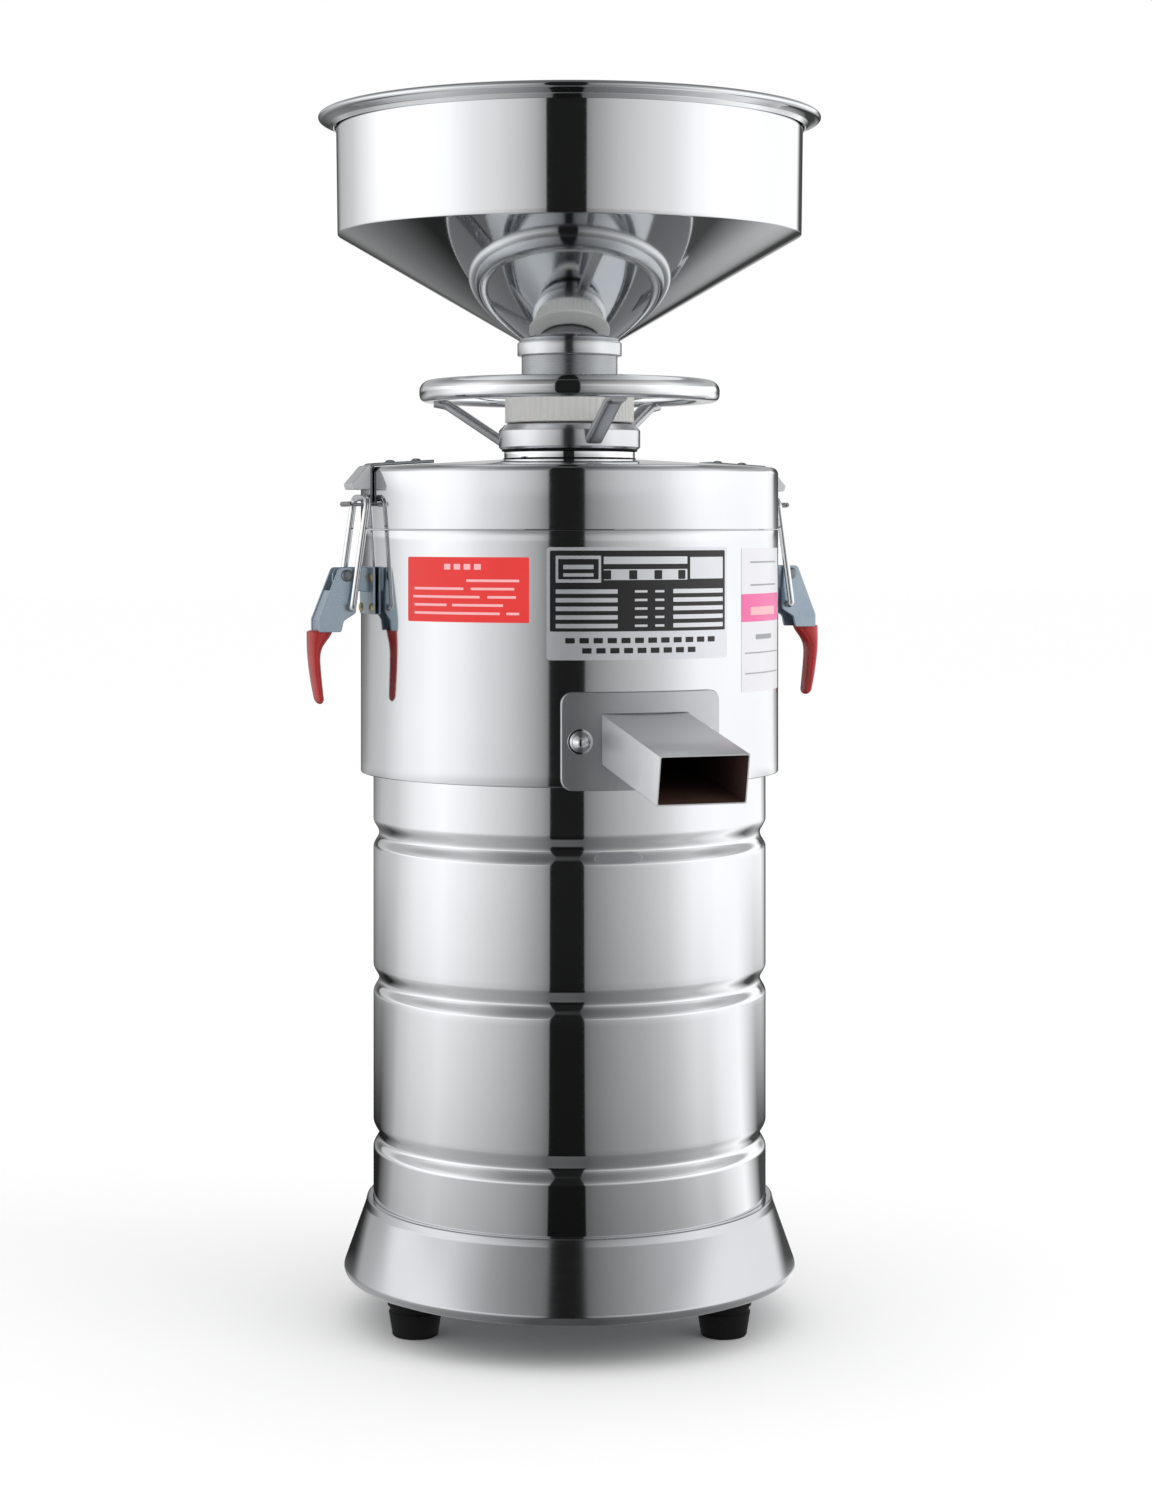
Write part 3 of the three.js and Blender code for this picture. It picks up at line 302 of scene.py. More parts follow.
def upright(radius, angle, height):
    """Points on circles round the vertical axis."""
    return np.stack(np.broadcast_arrays(radius * np.cos(angle), radius * np.sin(angle), height), -1)


def facing_out(radius, angle, distance, height):
    """Points on circles round an axis that points out along +X at a height."""
    return np.stack(np.broadcast_arrays(distance, radius * np.cos(angle), height + radius * np.sin(angle)),
        -1)


def full_turn(count):
    return np.arange(count) * 2 * pi / count


def rounded(corners, steps=7):
    """A polyline through corners [x, y, radius]: each corner with a radius becomes an arc that
    touches both of its sides. The first and last corner stay as they are."""
    corners = [(*c, 0)[:3] for c in corners]
    line = [corners[0][:2]]
    for before, here, after in zip(corners, corners[1:], corners[2:]):
        p, a, b = (np.array(c[:2], float) for c in (here, before, after))
        u, v = (a - p) / np.linalg.norm(a - p), (b - p) / np.linalg.norm(b - p)
        half = acos(np.clip(u @ v, -1, 1)) / 2
        if here[2] <= 0 or half > pi / 2 - 0.02:
            line.append(tuple(p))
            continue
        reach = min(here[2] / tan(half), 0.49 * np.linalg.norm(a - p), 0.49 * np.linalg.norm(b - p))
        radius = reach * tan(half)
        centre = p + (u + v) / np.linalg.norm(u + v) * radius / sin(half)
        first = p + u * reach - centre
        last = p + v * reach - centre
        sweep = acos(np.clip(first @ last / radius ** 2, -1, 1))
        blend = np.linspace(0, 1, steps)[:, None]
        arc = (np.sin((1 - blend) * sweep) * first + np.sin(blend * sweep) * last) / sin(sweep)
        line.extend(map(tuple, centre + arc))
    line.append(corners[-1][:2])
    return np.array(line, float)


def loop_of(corners, steps=7):
    """A closed outline with rounded corners: rounded() carried once round from the middle of a side."""
    corners = [(*c, 0)[:3] for c in corners]
    middle = ((corners[0][0] + corners[-1][0]) / 2, (corners[0][1] + corners[-1][1]) / 2, 0)
    return rounded([middle, *corners, middle], steps)[:-1]


def box(half, low, high, corner):
    """The corners of a rectangle from -half to half across and from low to high."""
    return [(half, low, corner), (half, high, corner), (-half, high, corner), (-half, low, corner)]


def band(inner, outer, low, high, a, b, c, d):
    """A ring's section between two radii and two heights, with corner radii a to d from the inner
    lower corner anticlockwise."""
    return loop_of([(inner, low, a), (outer, low, b), (outer, high, c), (inner, high, d)])


def even_loop(corners, count):
    """The closed outline of loop_of() with count points, spread so that each lies at the same share
    of the outline's bearing round its middle."""
    loop = loop_of(corners, 16)
    middle = (loop.max(0) + loop.min(0)) / 2
    size = (loop.max(0) - loop.min(0)) / 2
    unit = (loop - middle) / size
    bearing = np.unwrap(np.arctan2(unit[:, 1], unit[:, 0]))
    order = np.argsort(bearing)
    wanted = bearing[order][0] + full_turn(count)
    return np.stack([np.interp(wanted, bearing[order], loop[order, k], period=2 * pi) for k in (0, 1)], -1)


def lathe(name, outline, material, body, nodes=(), slot=None, closed=True, around=AROUND, centre=(0, 0),
        reshape=None):
    """Carries an outline [radius, height] round the vertical axis. The outline runs anticlockwise with
    the radius to the right; open outlines start and end on the axis. reshape(radius, height, angle)
    returns new radii for pieces whose radius also depends on the angle."""
    outline = np.asarray(outline, float)
    poles = (None, None)
    if not closed:
        poles = [np.array([*centre, outline[k][1]]) for k in (0, -1)]
        outline = outline[1:-1]
    angle = full_turn(around)
    radius = np.repeat(outline[:, :1], around, axis=1)
    height = np.repeat(outline[:, 1:2], around, axis=1)
    if reshape:
        radius = reshape(radius, height, angle[None, :])
    grid = upright(radius, angle, height) + [*centre, 0]
    return solid(name, grid, material, body, nodes, slot, closed, poles)


def lathe_out(name, outline, azimuth, height, material, body, nodes=(), around=64):
    """A turned piece whose axis points straight out from the machine: outline [radius, distance from
    the machine's axis], starting and ending on its own axis."""
    ring = np.asarray(outline, float)[1:-1]
    grid = facing_out(ring[:, :1], full_turn(around), ring[:, 1:2], height)
    poles = [[outline[k][1], 0, height] for k in (0, -1)]
    return solid(name, grid, material, body, nodes, poles=poles, azimuth=azimuth)


def swept(name, path, section, across, material, body, nodes=(), azimuth=None, slot=None):
    """Carries a closed section [a, b] along a flat path: a runs along the constant direction across,
    and b along the path's tangent x across. Both ends are closed by a pole."""
    path = np.asarray(path, float)
    across = np.asarray(across, float) / np.linalg.norm(across)
    tangent = np.gradient(path, axis=0)
    tangent /= np.linalg.norm(tangent, axis=1, keepdims=True)
    second = np.cross(tangent, across)
    section = np.asarray(section, float)
    grid = (path[:, None] + section[None, :, :1] * across + section[None, :, 1:] * second[:, None])
    return solid(name, grid, material, body, nodes, slot, poles=(path[0], path[-1]), azimuth=azimuth)


def strap(name, line, section, material, body, nodes=(), azimuth=None, slot=None):
    """A bar swept along a line [out, height] that lies in the plane through +X and +Z."""
    path = np.stack([line[:, 0], np.zeros(len(line)), line[:, 1]], 1)
    return swept(name, path, bar_section(*section), (0, 1, 0), material, body, nodes, azimuth, slot)


def circle(radius, sides=24):
    angle = full_turn(sides)
    return np.stack([radius * np.cos(angle), radius * np.sin(angle)], -1)


def bar_section(width, thickness, corner):
    """A rectangle of width along the path's across direction, with rounded corners, anticlockwise."""
    return loop_of(box(width / 2, -thickness / 2, thickness / 2, corner), 5)


def dense(line, step):
    """The same polyline with points no further apart than step."""
    line = np.asarray(line, float)
    lengths = np.linalg.norm(np.diff(line, axis=0), axis=1)
    kept = [line[:1]]
    for a, b, length in zip(line, line[1:], lengths):
        share = np.linspace(0, 1, max(1, int(np.ceil(length / step))) + 1)[1:, None]
        kept.append(a + (b - a) * share)
    return np.vstack(kept)


def plate(name, outline, thickness, middle, bevel, material, body, azimuth, nodes=(), slot=None):
    """A flat plate: an outline [out, height] in the plane through +X and +Z, carried across by
    thickness about the sideways place middle, with its edges rounded by a Bevel modifier."""
    work = bmesh.new()
    sides = []
    for place in (middle - thickness / 2, middle + thickness / 2):
        sides.append([work.verts.new(Vector((x * MM, place * MM, z * MM))) for x, z in outline])
    work.faces.new(sides[0])
    work.faces.new(sides[1][::-1])
    for k in range(len(outline)):
        n = (k + 1) % len(outline)
        work.faces.new((sides[0][n], sides[0][k], sides[1][k], sides[1][n]))
    bmesh.ops.recalc_face_normals(work, faces=work.faces)
    mesh = bpy.data.meshes.new(name)
    work.to_mesh(mesh)
    work.free()
    points = np.zeros(len(mesh.vertices) * 3)
    mesh.vertices.foreach_get("co", points)
    mesh.vertices.foreach_set("co", turn(points.reshape(-1, 3), azimuth).ravel())
    mesh.update()
    piece = seat(name, mesh, material, body, nodes, slot)
    modifier = piece.modifiers.new("edges", "BEVEL")
    modifier.width, modifier.segments = bevel * MM, 3
    modifier.limit_method, modifier.angle_limit = "ANGLE", radians(40)
    mesh.polygons.foreach_set("use_smooth", np.ones(len(mesh.polygons), bool))
    mesh.set_sharp_from_angle(angle=radians(60))


def curved_patch(name, half_width, azimuth, bottom, top, inner, outer, material, rows=40, columns=48):
    """A thin closed sheet on a cylinder: half_width(height) gives its half width in millimetres of
    arc at each height, and it fills the space between the radii inner and outer."""
    height = bottom + (top - bottom) * (1 - np.cos(np.linspace(0, pi, rows))) / 2
    arc = half_width(height)[:, None] * np.linspace(-1, 1, columns)[None, :]
    grid = np.concatenate([upright(outer, arc / outer, height[:, None]),
                           upright(inner, arc[:, ::-1] / outer, height[:, None])], axis=1)
    points, parts, maps = skin(grid)
    wide = grid.shape[1]
    for row in (0, rows - 1):
        front = row * wide + np.arange(columns)
        back = row * wide + wide - 1 - np.arange(columns)
        strip = np.stack([front[:-1], front[1:], back[1:], back[:-1]], 1)
        strip = strip[:, ::-1] if row == 0 else strip
        parts.append(strip)
        maps.append(np.zeros((*strip.shape, 2)))
    return mesh_piece(name, turn(points, azimuth), parts, maps, material, "machine")


# Hopper: neck, fillet, cone, welded seam, wall and a flat bead rolled almost shut

cone_low, cone_high = span("hopper_cone")
bowl_high = span("hopper_bowl")[1]
SHEET = 1.5
NECK = 30.0
CONE_FOOT = 615.9
BOWL_FOOT = cone_high[0] + 1.7
SEAM = cone_high[2]
BEAD_HALF_WIDTH, BEAD_HALF_HEIGHT = 6.4, 2.75
BEAD_MIDDLE = bowl_high[0] - BEAD_HALF_WIDTH
BEAD_HEIGHT = bowl_high[2] - BEAD_HALF_HEIGHT


def bead(inset, start, end):
    """A slightly squared oval: cosine and sine to the power 0.85, from one angle to another."""
    angle = np.radians(np.linspace(start, end, 44))
    c, s = np.cos(angle), np.sin(angle)
    return np.stack([BEAD_MIDDLE + (BEAD_HALF_WIDTH - inset) * np.sign(c) * np.abs(c) ** 0.85,
        BEAD_HEIGHT + (BEAD_HALF_HEIGHT - inset * 0.85) * np.sign(s) * np.abs(s) ** 0.85], 1)


hopper_outline = np.vstack([
    rounded([(NECK, cone_low[2]), (NECK, CONE_FOOT, 5), (BOWL_FOOT - 1.2, SEAM - 0.7, 0.8),
             (BOWL_FOOT, SEAM, 0.7), (BOWL_FOOT + 0.1, SEAM + 3)]),
    bead(SHEET, 180, -70),
    rounded([(154.1, 755.5), (151.2, 754.4, 2), (149.3, 751.4), (150.0, 751.0), (151.9, 753.5, 2),
             (155.2, 754.9)]),
    bead(0, -60, 180),
    rounded([(BOWL_FOOT - SHEET, SEAM + 5), (BOWL_FOOT - SHEET, SEAM + 0.6, 2),
             (NECK - SHEET, CONE_FOOT + 1.8, 4), (NECK - SHEET, cone_low[2])]),
])
lathe("hopper_spun_bowl", hopper_outline, mirror_steel, "hopper", ["hopper_cone", "hopper_bowl"],
    around=WIDE_AROUND)

radius, bottom, top = extent("hopper_collar")
lathe("hopper_neck_collar", band(30.05, radius, bottom + 1.7, top + 1, 0.3, 1.0, 2.2, 0.3), hub_steel,
    "hopper", ["hopper_collar"])
lathe("hopper_neck_sleeve", band(NECK - 0.4, NECK + 0.5, 575, bottom + 1.7, 0.1, 0.3, 0.1, 0.1), dull_steel,
    "hopper", slot="polished_sheet")

# Sleeve: a nylon tube with a fluted head, two keyways and the seat for the hopper's neck

sleeve_low, sleeve_high = span("keyed_sleeve")
HEAD = 41.0
HEAD_BOTTOM = sleeve_high[2] - 23
FLUTES = 60
KEYWAY = 5.0


def fluted(radius, height, angle):
    """The head's radius dips by 0.45 mm in 60 flutes between its two chamfers; the tube's radius
    drops by 3 mm within the keyways, which face front and rear."""
    head = (radius > HEAD - 0.05) & (height > HEAD_BOTTOM + 2) & (height < sleeve_high[2] - 2)
    flute = 0.45 * (0.5 - 0.5 * np.cos(FLUTES * angle)) ** 2
    keyway = (np.abs(34 * np.cos(angle)) < KEYWAY / 2) & (height < HEAD_BOTTOM - 0.2) & (radius > 33)
    return radius - np.where(head, flute, 0) - np.where(keyway, 3.0, 0)


sleeve_outline = np.vstack([
    rounded([(28.6, sleeve_low[2]), (34, sleeve_low[2], 1), (34, HEAD_BOTTOM - 0.3, 0.1),
             (34, HEAD_BOTTOM, 0.2), (HEAD, HEAD_BOTTOM, 1.6), (HEAD, HEAD_BOTTOM + 2.2)]),
    rounded([(HEAD, HEAD_BOTTOM + 2.3), (HEAD, sleeve_high[2] - 2.2), (HEAD, sleeve_high[2], 1.8),
             (31.2, sleeve_high[2], 0.9), (30.6, sleeve_high[2] - 2), (30.6, 559.9), (28.6, 559.9)]),
])
lathe("sleeve_nylon_head", sleeve_outline, nylon, "stone_carrier", ["keyed_sleeve"], around=FINE_AROUND,
    reshape=fluted)

# Lid: pressed sheet with a rounded shoulder, the collar with its two keys, and the gasket

radius, bottom, top = extent("lid")
CHAMBER = radius
LID_TOP = top - 5.5
lathe("lid_pressing", np.vstack([
    rounded([(CHAMBER - SHEET, bottom), (CHAMBER - 0.3, bottom, 0.2),
             (CHAMBER, bottom + 0.3, 0.2), (CHAMBER, LID_TOP, 4.2), (44, top, 6),
             (36.4, top, 0.4), (36.4, top - SHEET, 0.4), (43, top - SHEET, 6),
             (CHAMBER - SHEET, LID_TOP - 1.7, 3), (CHAMBER - SHEET, bottom + 4)], 9)]),
    satin_steel, "lid", ["lid"], around=WIDE_AROUND)

radius, bottom, top = extent("lid_collar")


def keyed(radius, height, angle):
    """The collar's bore steps in by 5 mm over the width of its two keys."""
    key = (np.abs(34 * np.cos(angle)) < KEYWAY / 2 - 0.5) & (radius < 37)
    return radius - np.where(key, 5.0, 0)


lathe("lid_keyed_collar", band(36.45, radius, bottom, top - 0.8, 0.2, 0.4, 0.8, 0.4), chrome, "lid",
    ["lid_collar"], around=FINE_AROUND, reshape=keyed)
# a black ring at the collar's foot: painted shadow for the dark line where the collar meets the lid
lathe("lid_collar_shadow_ring", band(36.6, radius + 0.7, bottom - 0.4, bottom + 0.6, 0.2, 0.3, 0.4, 0.2), rubber,
    "lid")

radius, bottom, top = extent("lid_gasket")
lathe("lid_seal_ring", band(radius - 6, radius, bottom, top, 1.2, 1.2, 1.6, 1.6), nylon, "lid",
    ["lid_gasket"])

# Handwheel: hub with a rounded shoulder, oval rim and three straps

radius, bottom, top = extent("handwheel_hub")
lathe("handwheel_turned_hub", loop_of([(35.3, bottom, 0.4), (radius - 1.5, bottom, 0.8),
    (radius, bottom + 1.5, 0.8), (radius, top - 4.5, 1.2), (radius - 3.6, top - 0.9, 2.2),
    (radius - 6.5, top, 1.5), (35.3, top, 0.8)]), hub_steel, "handwheel", ["handwheel_hub"])
# a black ring under the hub: painted shadow for the dark gap line between hub and collar
lathe("handwheel_shadow_ring", band(35.6, radius - 1.9, bottom - 1.1, bottom + 0.4, 0.2, 0.3, 0.3, 0.2), rubber,
    "handwheel")

radius, bottom, top = extent("handwheel_rim")
RIM_HALF_WIDTH, RIM_HALF_HEIGHT = 7.75, 7.0
RIM_MIDDLE = radius - RIM_HALF_WIDTH
RIM_HEIGHT = (bottom + top) / 2 + 1
rim_angle = full_turn(48)
cosine, sine = np.cos(rim_angle), np.sin(rim_angle)
# squarer below than above
power = np.where(sine > 0, 0.95, 0.6)
rim_section = np.stack([
    RIM_MIDDLE + RIM_HALF_WIDTH * np.sign(cosine) * np.abs(cosine) ** power,
    RIM_HEIGHT + RIM_HALF_HEIGHT * np.sign(sine) * np.abs(sine) ** power], 1)
lathe("handwheel_oval_rim", rim_section, chrome, "handwheel", ["handwheel_rim"])

for index, azimuth in enumerate((0, 120, 240), 1):
    run = dense(rounded([(43.8, 553.4), (79.0, 576.8, 9), (87.0, 578.4)], 12), 3)
    strap(f"handwheel_strap_{index}", run, (11.5, 6, 2.6), flange_steel, "handwheel",
        [f"handwheel_spoke_{index}"], azimuth, "polished_sheet")

# Grinding chamber: shell with its two windows, rim, shelf, floor and seal

shell_low, shell_high = span("chamber_shell")
SPOUT_WINDOW = (FRONT, 27.0, 361.0, 386.5)
CHUTE_WINDOW = (REAR, 41.0, 461.0, 488.5)


def windowed_wall():
    """A cylinder of angle by height whose cells inside the two windows are left out; a Solidify
    modifier gives the wall its thickness inwards, so each window gets cut edges."""
    lines = [np.linspace(0, 360, 361)[:-1]]
    for azimuth, half, _, _ in (SPOUT_WINDOW, CHUTE_WINDOW):
        reach = degrees(asin(half / CHAMBER))
        lines.append(np.array([azimuth - reach, azimuth + reach]) % 360)
    angle = np.unique(np.concatenate(lines))
    edges = [shell_low[2], shell_low[2] + 0.5, shell_high[2] - 0.5, shell_high[2]]
    for _, _, bottom, top in (SPOUT_WINDOW, CHUTE_WINDOW):
        edges += [bottom, top]
    height = np.unique(np.concatenate([edges, np.linspace(shell_low[2] + 8, shell_high[2] - 8, 16)]))
    inset = np.where((height < shell_low[2] + 0.3) | (height > shell_high[2] - 0.3), 0.15, 0)
    grid = upright((CHAMBER - inset)[:, None], np.radians(angle), height[:, None])
    points, (quads,), (uv,) = skin(grid)
    middle_height = ((height[1:] + height[:-1]) / 2)[:, None]
    middle_angle = (angle + np.diff(np.append(angle, angle[0] + 360)) / 2)[None, :]
    keep = np.ones((len(height) - 1, len(angle)), bool)
    for azimuth, half, bottom, top in (SPOUT_WINDOW, CHUTE_WINDOW):
        off = (middle_angle - azimuth + 180) % 360 - 180
        keep &= ~((np.abs(off) < degrees(asin(half / CHAMBER)))
                  & (middle_height > bottom) & (middle_height < top))
    keep = keep.ravel()
    return turn(points, 0), [quads[keep]], [uv[keep]]


wall = mesh_piece("chamber_rolled_wall", *windowed_wall(), satin_steel, "machine", ["chamber_shell"])
thick = wall.modifiers.new("wall", "SOLIDIFY")
thick.thickness, thick.offset = SHEET * MM, -1

RIM_EDGE = CHAMBER - SHEET - 10
lathe("chamber_top_rim", band(RIM_EDGE, 130.9, shell_high[2] - 1.5, shell_high[2], 0.5, 0.2, 0.2, 0.5),
    satin_steel, "machine", ["chamber_rim"])

shelf_low, shelf_high = span("residue_shelf")
lathe("chamber_residue_shelf", loop_of([(-shelf_low[0] - 16.2, shelf_low[2], 0.4),
    (130.8, shelf_low[2], 0.2), (130.8, shelf_low[2] + 2, 0.2), (116, shelf_low[2] + 2, 1.0),
    (116, shelf_high[2], 0.6), (114.5, shelf_high[2], 0.6)]), satin_steel, "machine", ["residue_shelf"])

radius, bottom, top = extent("chamber_floor")
lathe("chamber_cast_floor", loop_of([(10.6, bottom), (130.7, bottom, 0.5), (130.7, bottom + 7, 1),
    (34, bottom + 7, 4), (31.5, top, 2), (10.6, top, 0.5)]), cast_aluminium, "machine", ["chamber_floor"])

radius, bottom, top = extent("shaft_seal")
lathe("chamber_shaft_seal", loop_of([(10.6, bottom), (24, bottom, 0.6), (24, top - 1, 1.2), (20, top, 0.8),
    (12, top, 0.6)]), rubber, "machine", ["shaft_seal"], around=96)

# Motor drum: three grooves rolled in as smooth valleys, and the flange that carries the chamber

drum_low, drum_high = span("motor_drum")
DRUM = drum_high[0]
GROOVES = (116.0, 214.1, 306.0)
GROOVE_HALF_WIDTH, GROOVE_DEPTH = 9.2, 3.6


def drum_wall(radius, plain_rows, groove_rows):
    """The radius less the groove's depth, falling off as a squared cosine over its half width."""
    height = np.unique(np.concatenate([
        np.linspace(drum_low[2], drum_high[2] - 2, plain_rows),
        *[np.linspace(g - GROOVE_HALF_WIDTH, g + GROOVE_HALF_WIDTH, groove_rows) for g in GROOVES]]))
    drop = sum(np.where(np.abs(height - g) < GROOVE_HALF_WIDTH,
                        GROOVE_DEPTH * np.cos((height - g) / GROOVE_HALF_WIDTH * pi / 2) ** 2, 0)
               for g in GROOVES)
    return np.stack([radius - drop, height], 1)


# the inner wall is sealed in, so it gets fewer rows
lathe("motor_drum_rolled", np.vstack([
    drum_wall(DRUM, 60, 31),
    rounded([(DRUM, drum_high[2] - 1.5), (DRUM, drum_high[2], 1.4), (DRUM - 18, drum_high[2], 0.5),
             (DRUM - 18, drum_high[2] - SHEET, 0.5), (DRUM - SHEET, drum_high[2] - SHEET, 0.8),
             (DRUM - SHEET, drum_high[2] - 3)]),
    drum_wall(DRUM - SHEET, 20, 13)[::-1]]),
    mirror_steel, "machine", ["motor_drum"], around=WIDE_AROUND)

# Base: skirt spun from one sheet, with its lower edge turned under and a ledge in to the drum

radius, bottom, top = extent("base_skirt")
SKIRT = radius
LIP = DRUM + 3.8
lathe("base_spun_skirt", loop_of([
    (130, bottom, 0.5), (SKIRT - 0.4, bottom, 9.5), (LIP + 1.2, top - 5.0, 14),
    (LIP, top, 1.0), (DRUM + 0.2, top, 0.2), (DRUM + 0.2, top - SHEET, 0.2),
    (LIP - SHEET, top - SHEET, 0.4), (LIP - 0.3, top - 6.0, 10),
    (SKIRT - 2.2, bottom + SHEET, 8), (130, bottom + SHEET, 0.5)], 14),
    skirt_steel, "machine", ["base_skirt"], around=WIDE_AROUND)

for index in (1, 2, 3):
    foot_low, foot_high = span(f"rubber_foot_{index}")
    middle = (foot_low + foot_high) / 2
    top = foot_high[2]
    lathe(f"foot_moulded_{index}", loop_of([
        (9, 0, 0.6), (14, 0, 1.6), (16.4, 15, 0.6), (15.6, 16, 0.5), (15.8, 18, 0.5), (17.0, 19, 0.6),
        (18, top, 0.8), (4.3, top), (4.3, 12), (9, 12, 0.5)]),
        rubber, "machine", [f"rubber_foot_{index}"], around=64, centre=middle[:2])

# Milk spout and residue chute: a curved flange with a window, and a sloped channel of thin sheet

CHANNEL_SHEET = 1.1
FLANGE_SHEET = 2


def channel_points(width, height, slope, root_top, reach, corner=0.9):
    """A rounded rectangle carried along the slope, out along its outside and back along its inside.
    Rows run along the slope and columns round the section."""
    drop = (reach - CHAMBER) * tan(slope)
    start = -(reach - CHAMBER + 4) / cos(slope)

    def ring(inset, place):
        edge = loop_of(box(width / 2 - inset, -(height - 2 * inset), 0, corner))
        across, up = edge[:, 0], edge[:, 1] - inset
        return np.stack([np.full(len(up), place), across, up], -1)

    outside = [(0, start), (0, start * 0.66), (0, start * 0.33), (0, -0.3), (0.2, 0)]
    inside = [(CHANNEL_SHEET - 0.2, 0)] + [
        (CHANNEL_SHEET, place) for place in (-0.3, start * 0.33, start * 0.66, start)]
    local = np.stack([ring(*row) for row in outside + inside])
    x = reach + local[..., 0] * cos(slope) + local[..., 2] * sin(slope)
    z = root_top - drop - local[..., 0] * sin(slope) + local[..., 2] * cos(slope)
    return np.stack([x, local[..., 1], z], -1)


def outlet(name, node, azimuth, width, height, slope, root_top, flange_width, flange_middle, flange_height,
        nuts):
    """The channel and its flange. The flange is a ring of rows between the window's outline and its
    own outline, wrapped on the chamber's cylinder, front and back."""
    reach = span(node)[1][1] if azimuth == REAR else -span(node)[0][1]
    grid = channel_points(width, height, slope, root_top, reach)
    channel = solid(f"{name}_channel", grid, mill_steel, "machine", [node], closed=True, azimuth=azimuth)
    channel.data.materials.append(shade_painted_steel)
    row = np.repeat(np.arange(grid.shape[0]), grid.shape[1])
    # the rows after the mouth's outer edge are the inside, which takes the painted shade
    channel.data.polygons.foreach_set("material_index", (row > 4).astype(np.int32))
    w, h = flange_width / 2, flange_height / 2
    outer = even_loop(box(w, -h, h, 7), 160)
    drop = 1 / cos(slope)
    top = root_top - flange_middle + 0.2
    low = top - height * drop - 0.4
    inner = even_loop(box(width / 2 + 0.2, low, top, 1), 160)
    face = CHAMBER + 0.3
    rows = []
    for radius, shares in ((face + FLANGE_SHEET, np.linspace(0, 1, 12)), (face, np.linspace(1, 0, 12))):
        for share in shares:
            edge = inner + (outer - inner) * share
            rows.append(upright(radius, edge[:, 0] / radius, flange_middle + edge[:, 1]))
    piece = solid(f"{name}_flange", np.stack(rows), flange_steel, "machine", closed=True, azimuth=azimuth)
    outward(piece.data)
    soften = piece.modifiers.new("edges", "BEVEL")
    soften.width, soften.segments, soften.limit_method = 0.5 * MM, 2, "ANGLE"
    for index, place in enumerate(nuts, 1):
        root = face + FLANGE_SHEET
        outline = rounded([(0, root), (7.6, root, 0.3), (7.6, root + 1.0, 0.3), (6.1, root + 1.1, 0.2),
            (6.1, root + 3.2, 0.6), (5.3, root + 4.4, 1.2), (5.0, root + 6.5, 3.6), (2.4, root + 10.6, 4),
            (0, root + 11)], 9)
        lathe_out(f"{name}_dome_nut_{index}", outline, azimuth + place, flange_middle, chrome, "machine",
            [f"spout_cap_nut_{index}"])


outlet("spout", "milk_spout", FRONT, 55.5, 29.5, radians(11), 388.0, 104, 371.95, 58.5, (-17.3, 17.3))
outlet("chute", "residue_chute", REAR, 84, 30, radians(24), 490.0, 100, 475.0, 40, ())

# Latches, made facing right and turned to each side

PIVOT = np.array([CHAMBER + 17, 469.0])
TRUNNION = np.array([CHAMBER + 15, 449.0])
BAR = np.array([CHAMBER + 5.3, 517.0])
ROD = 2.15
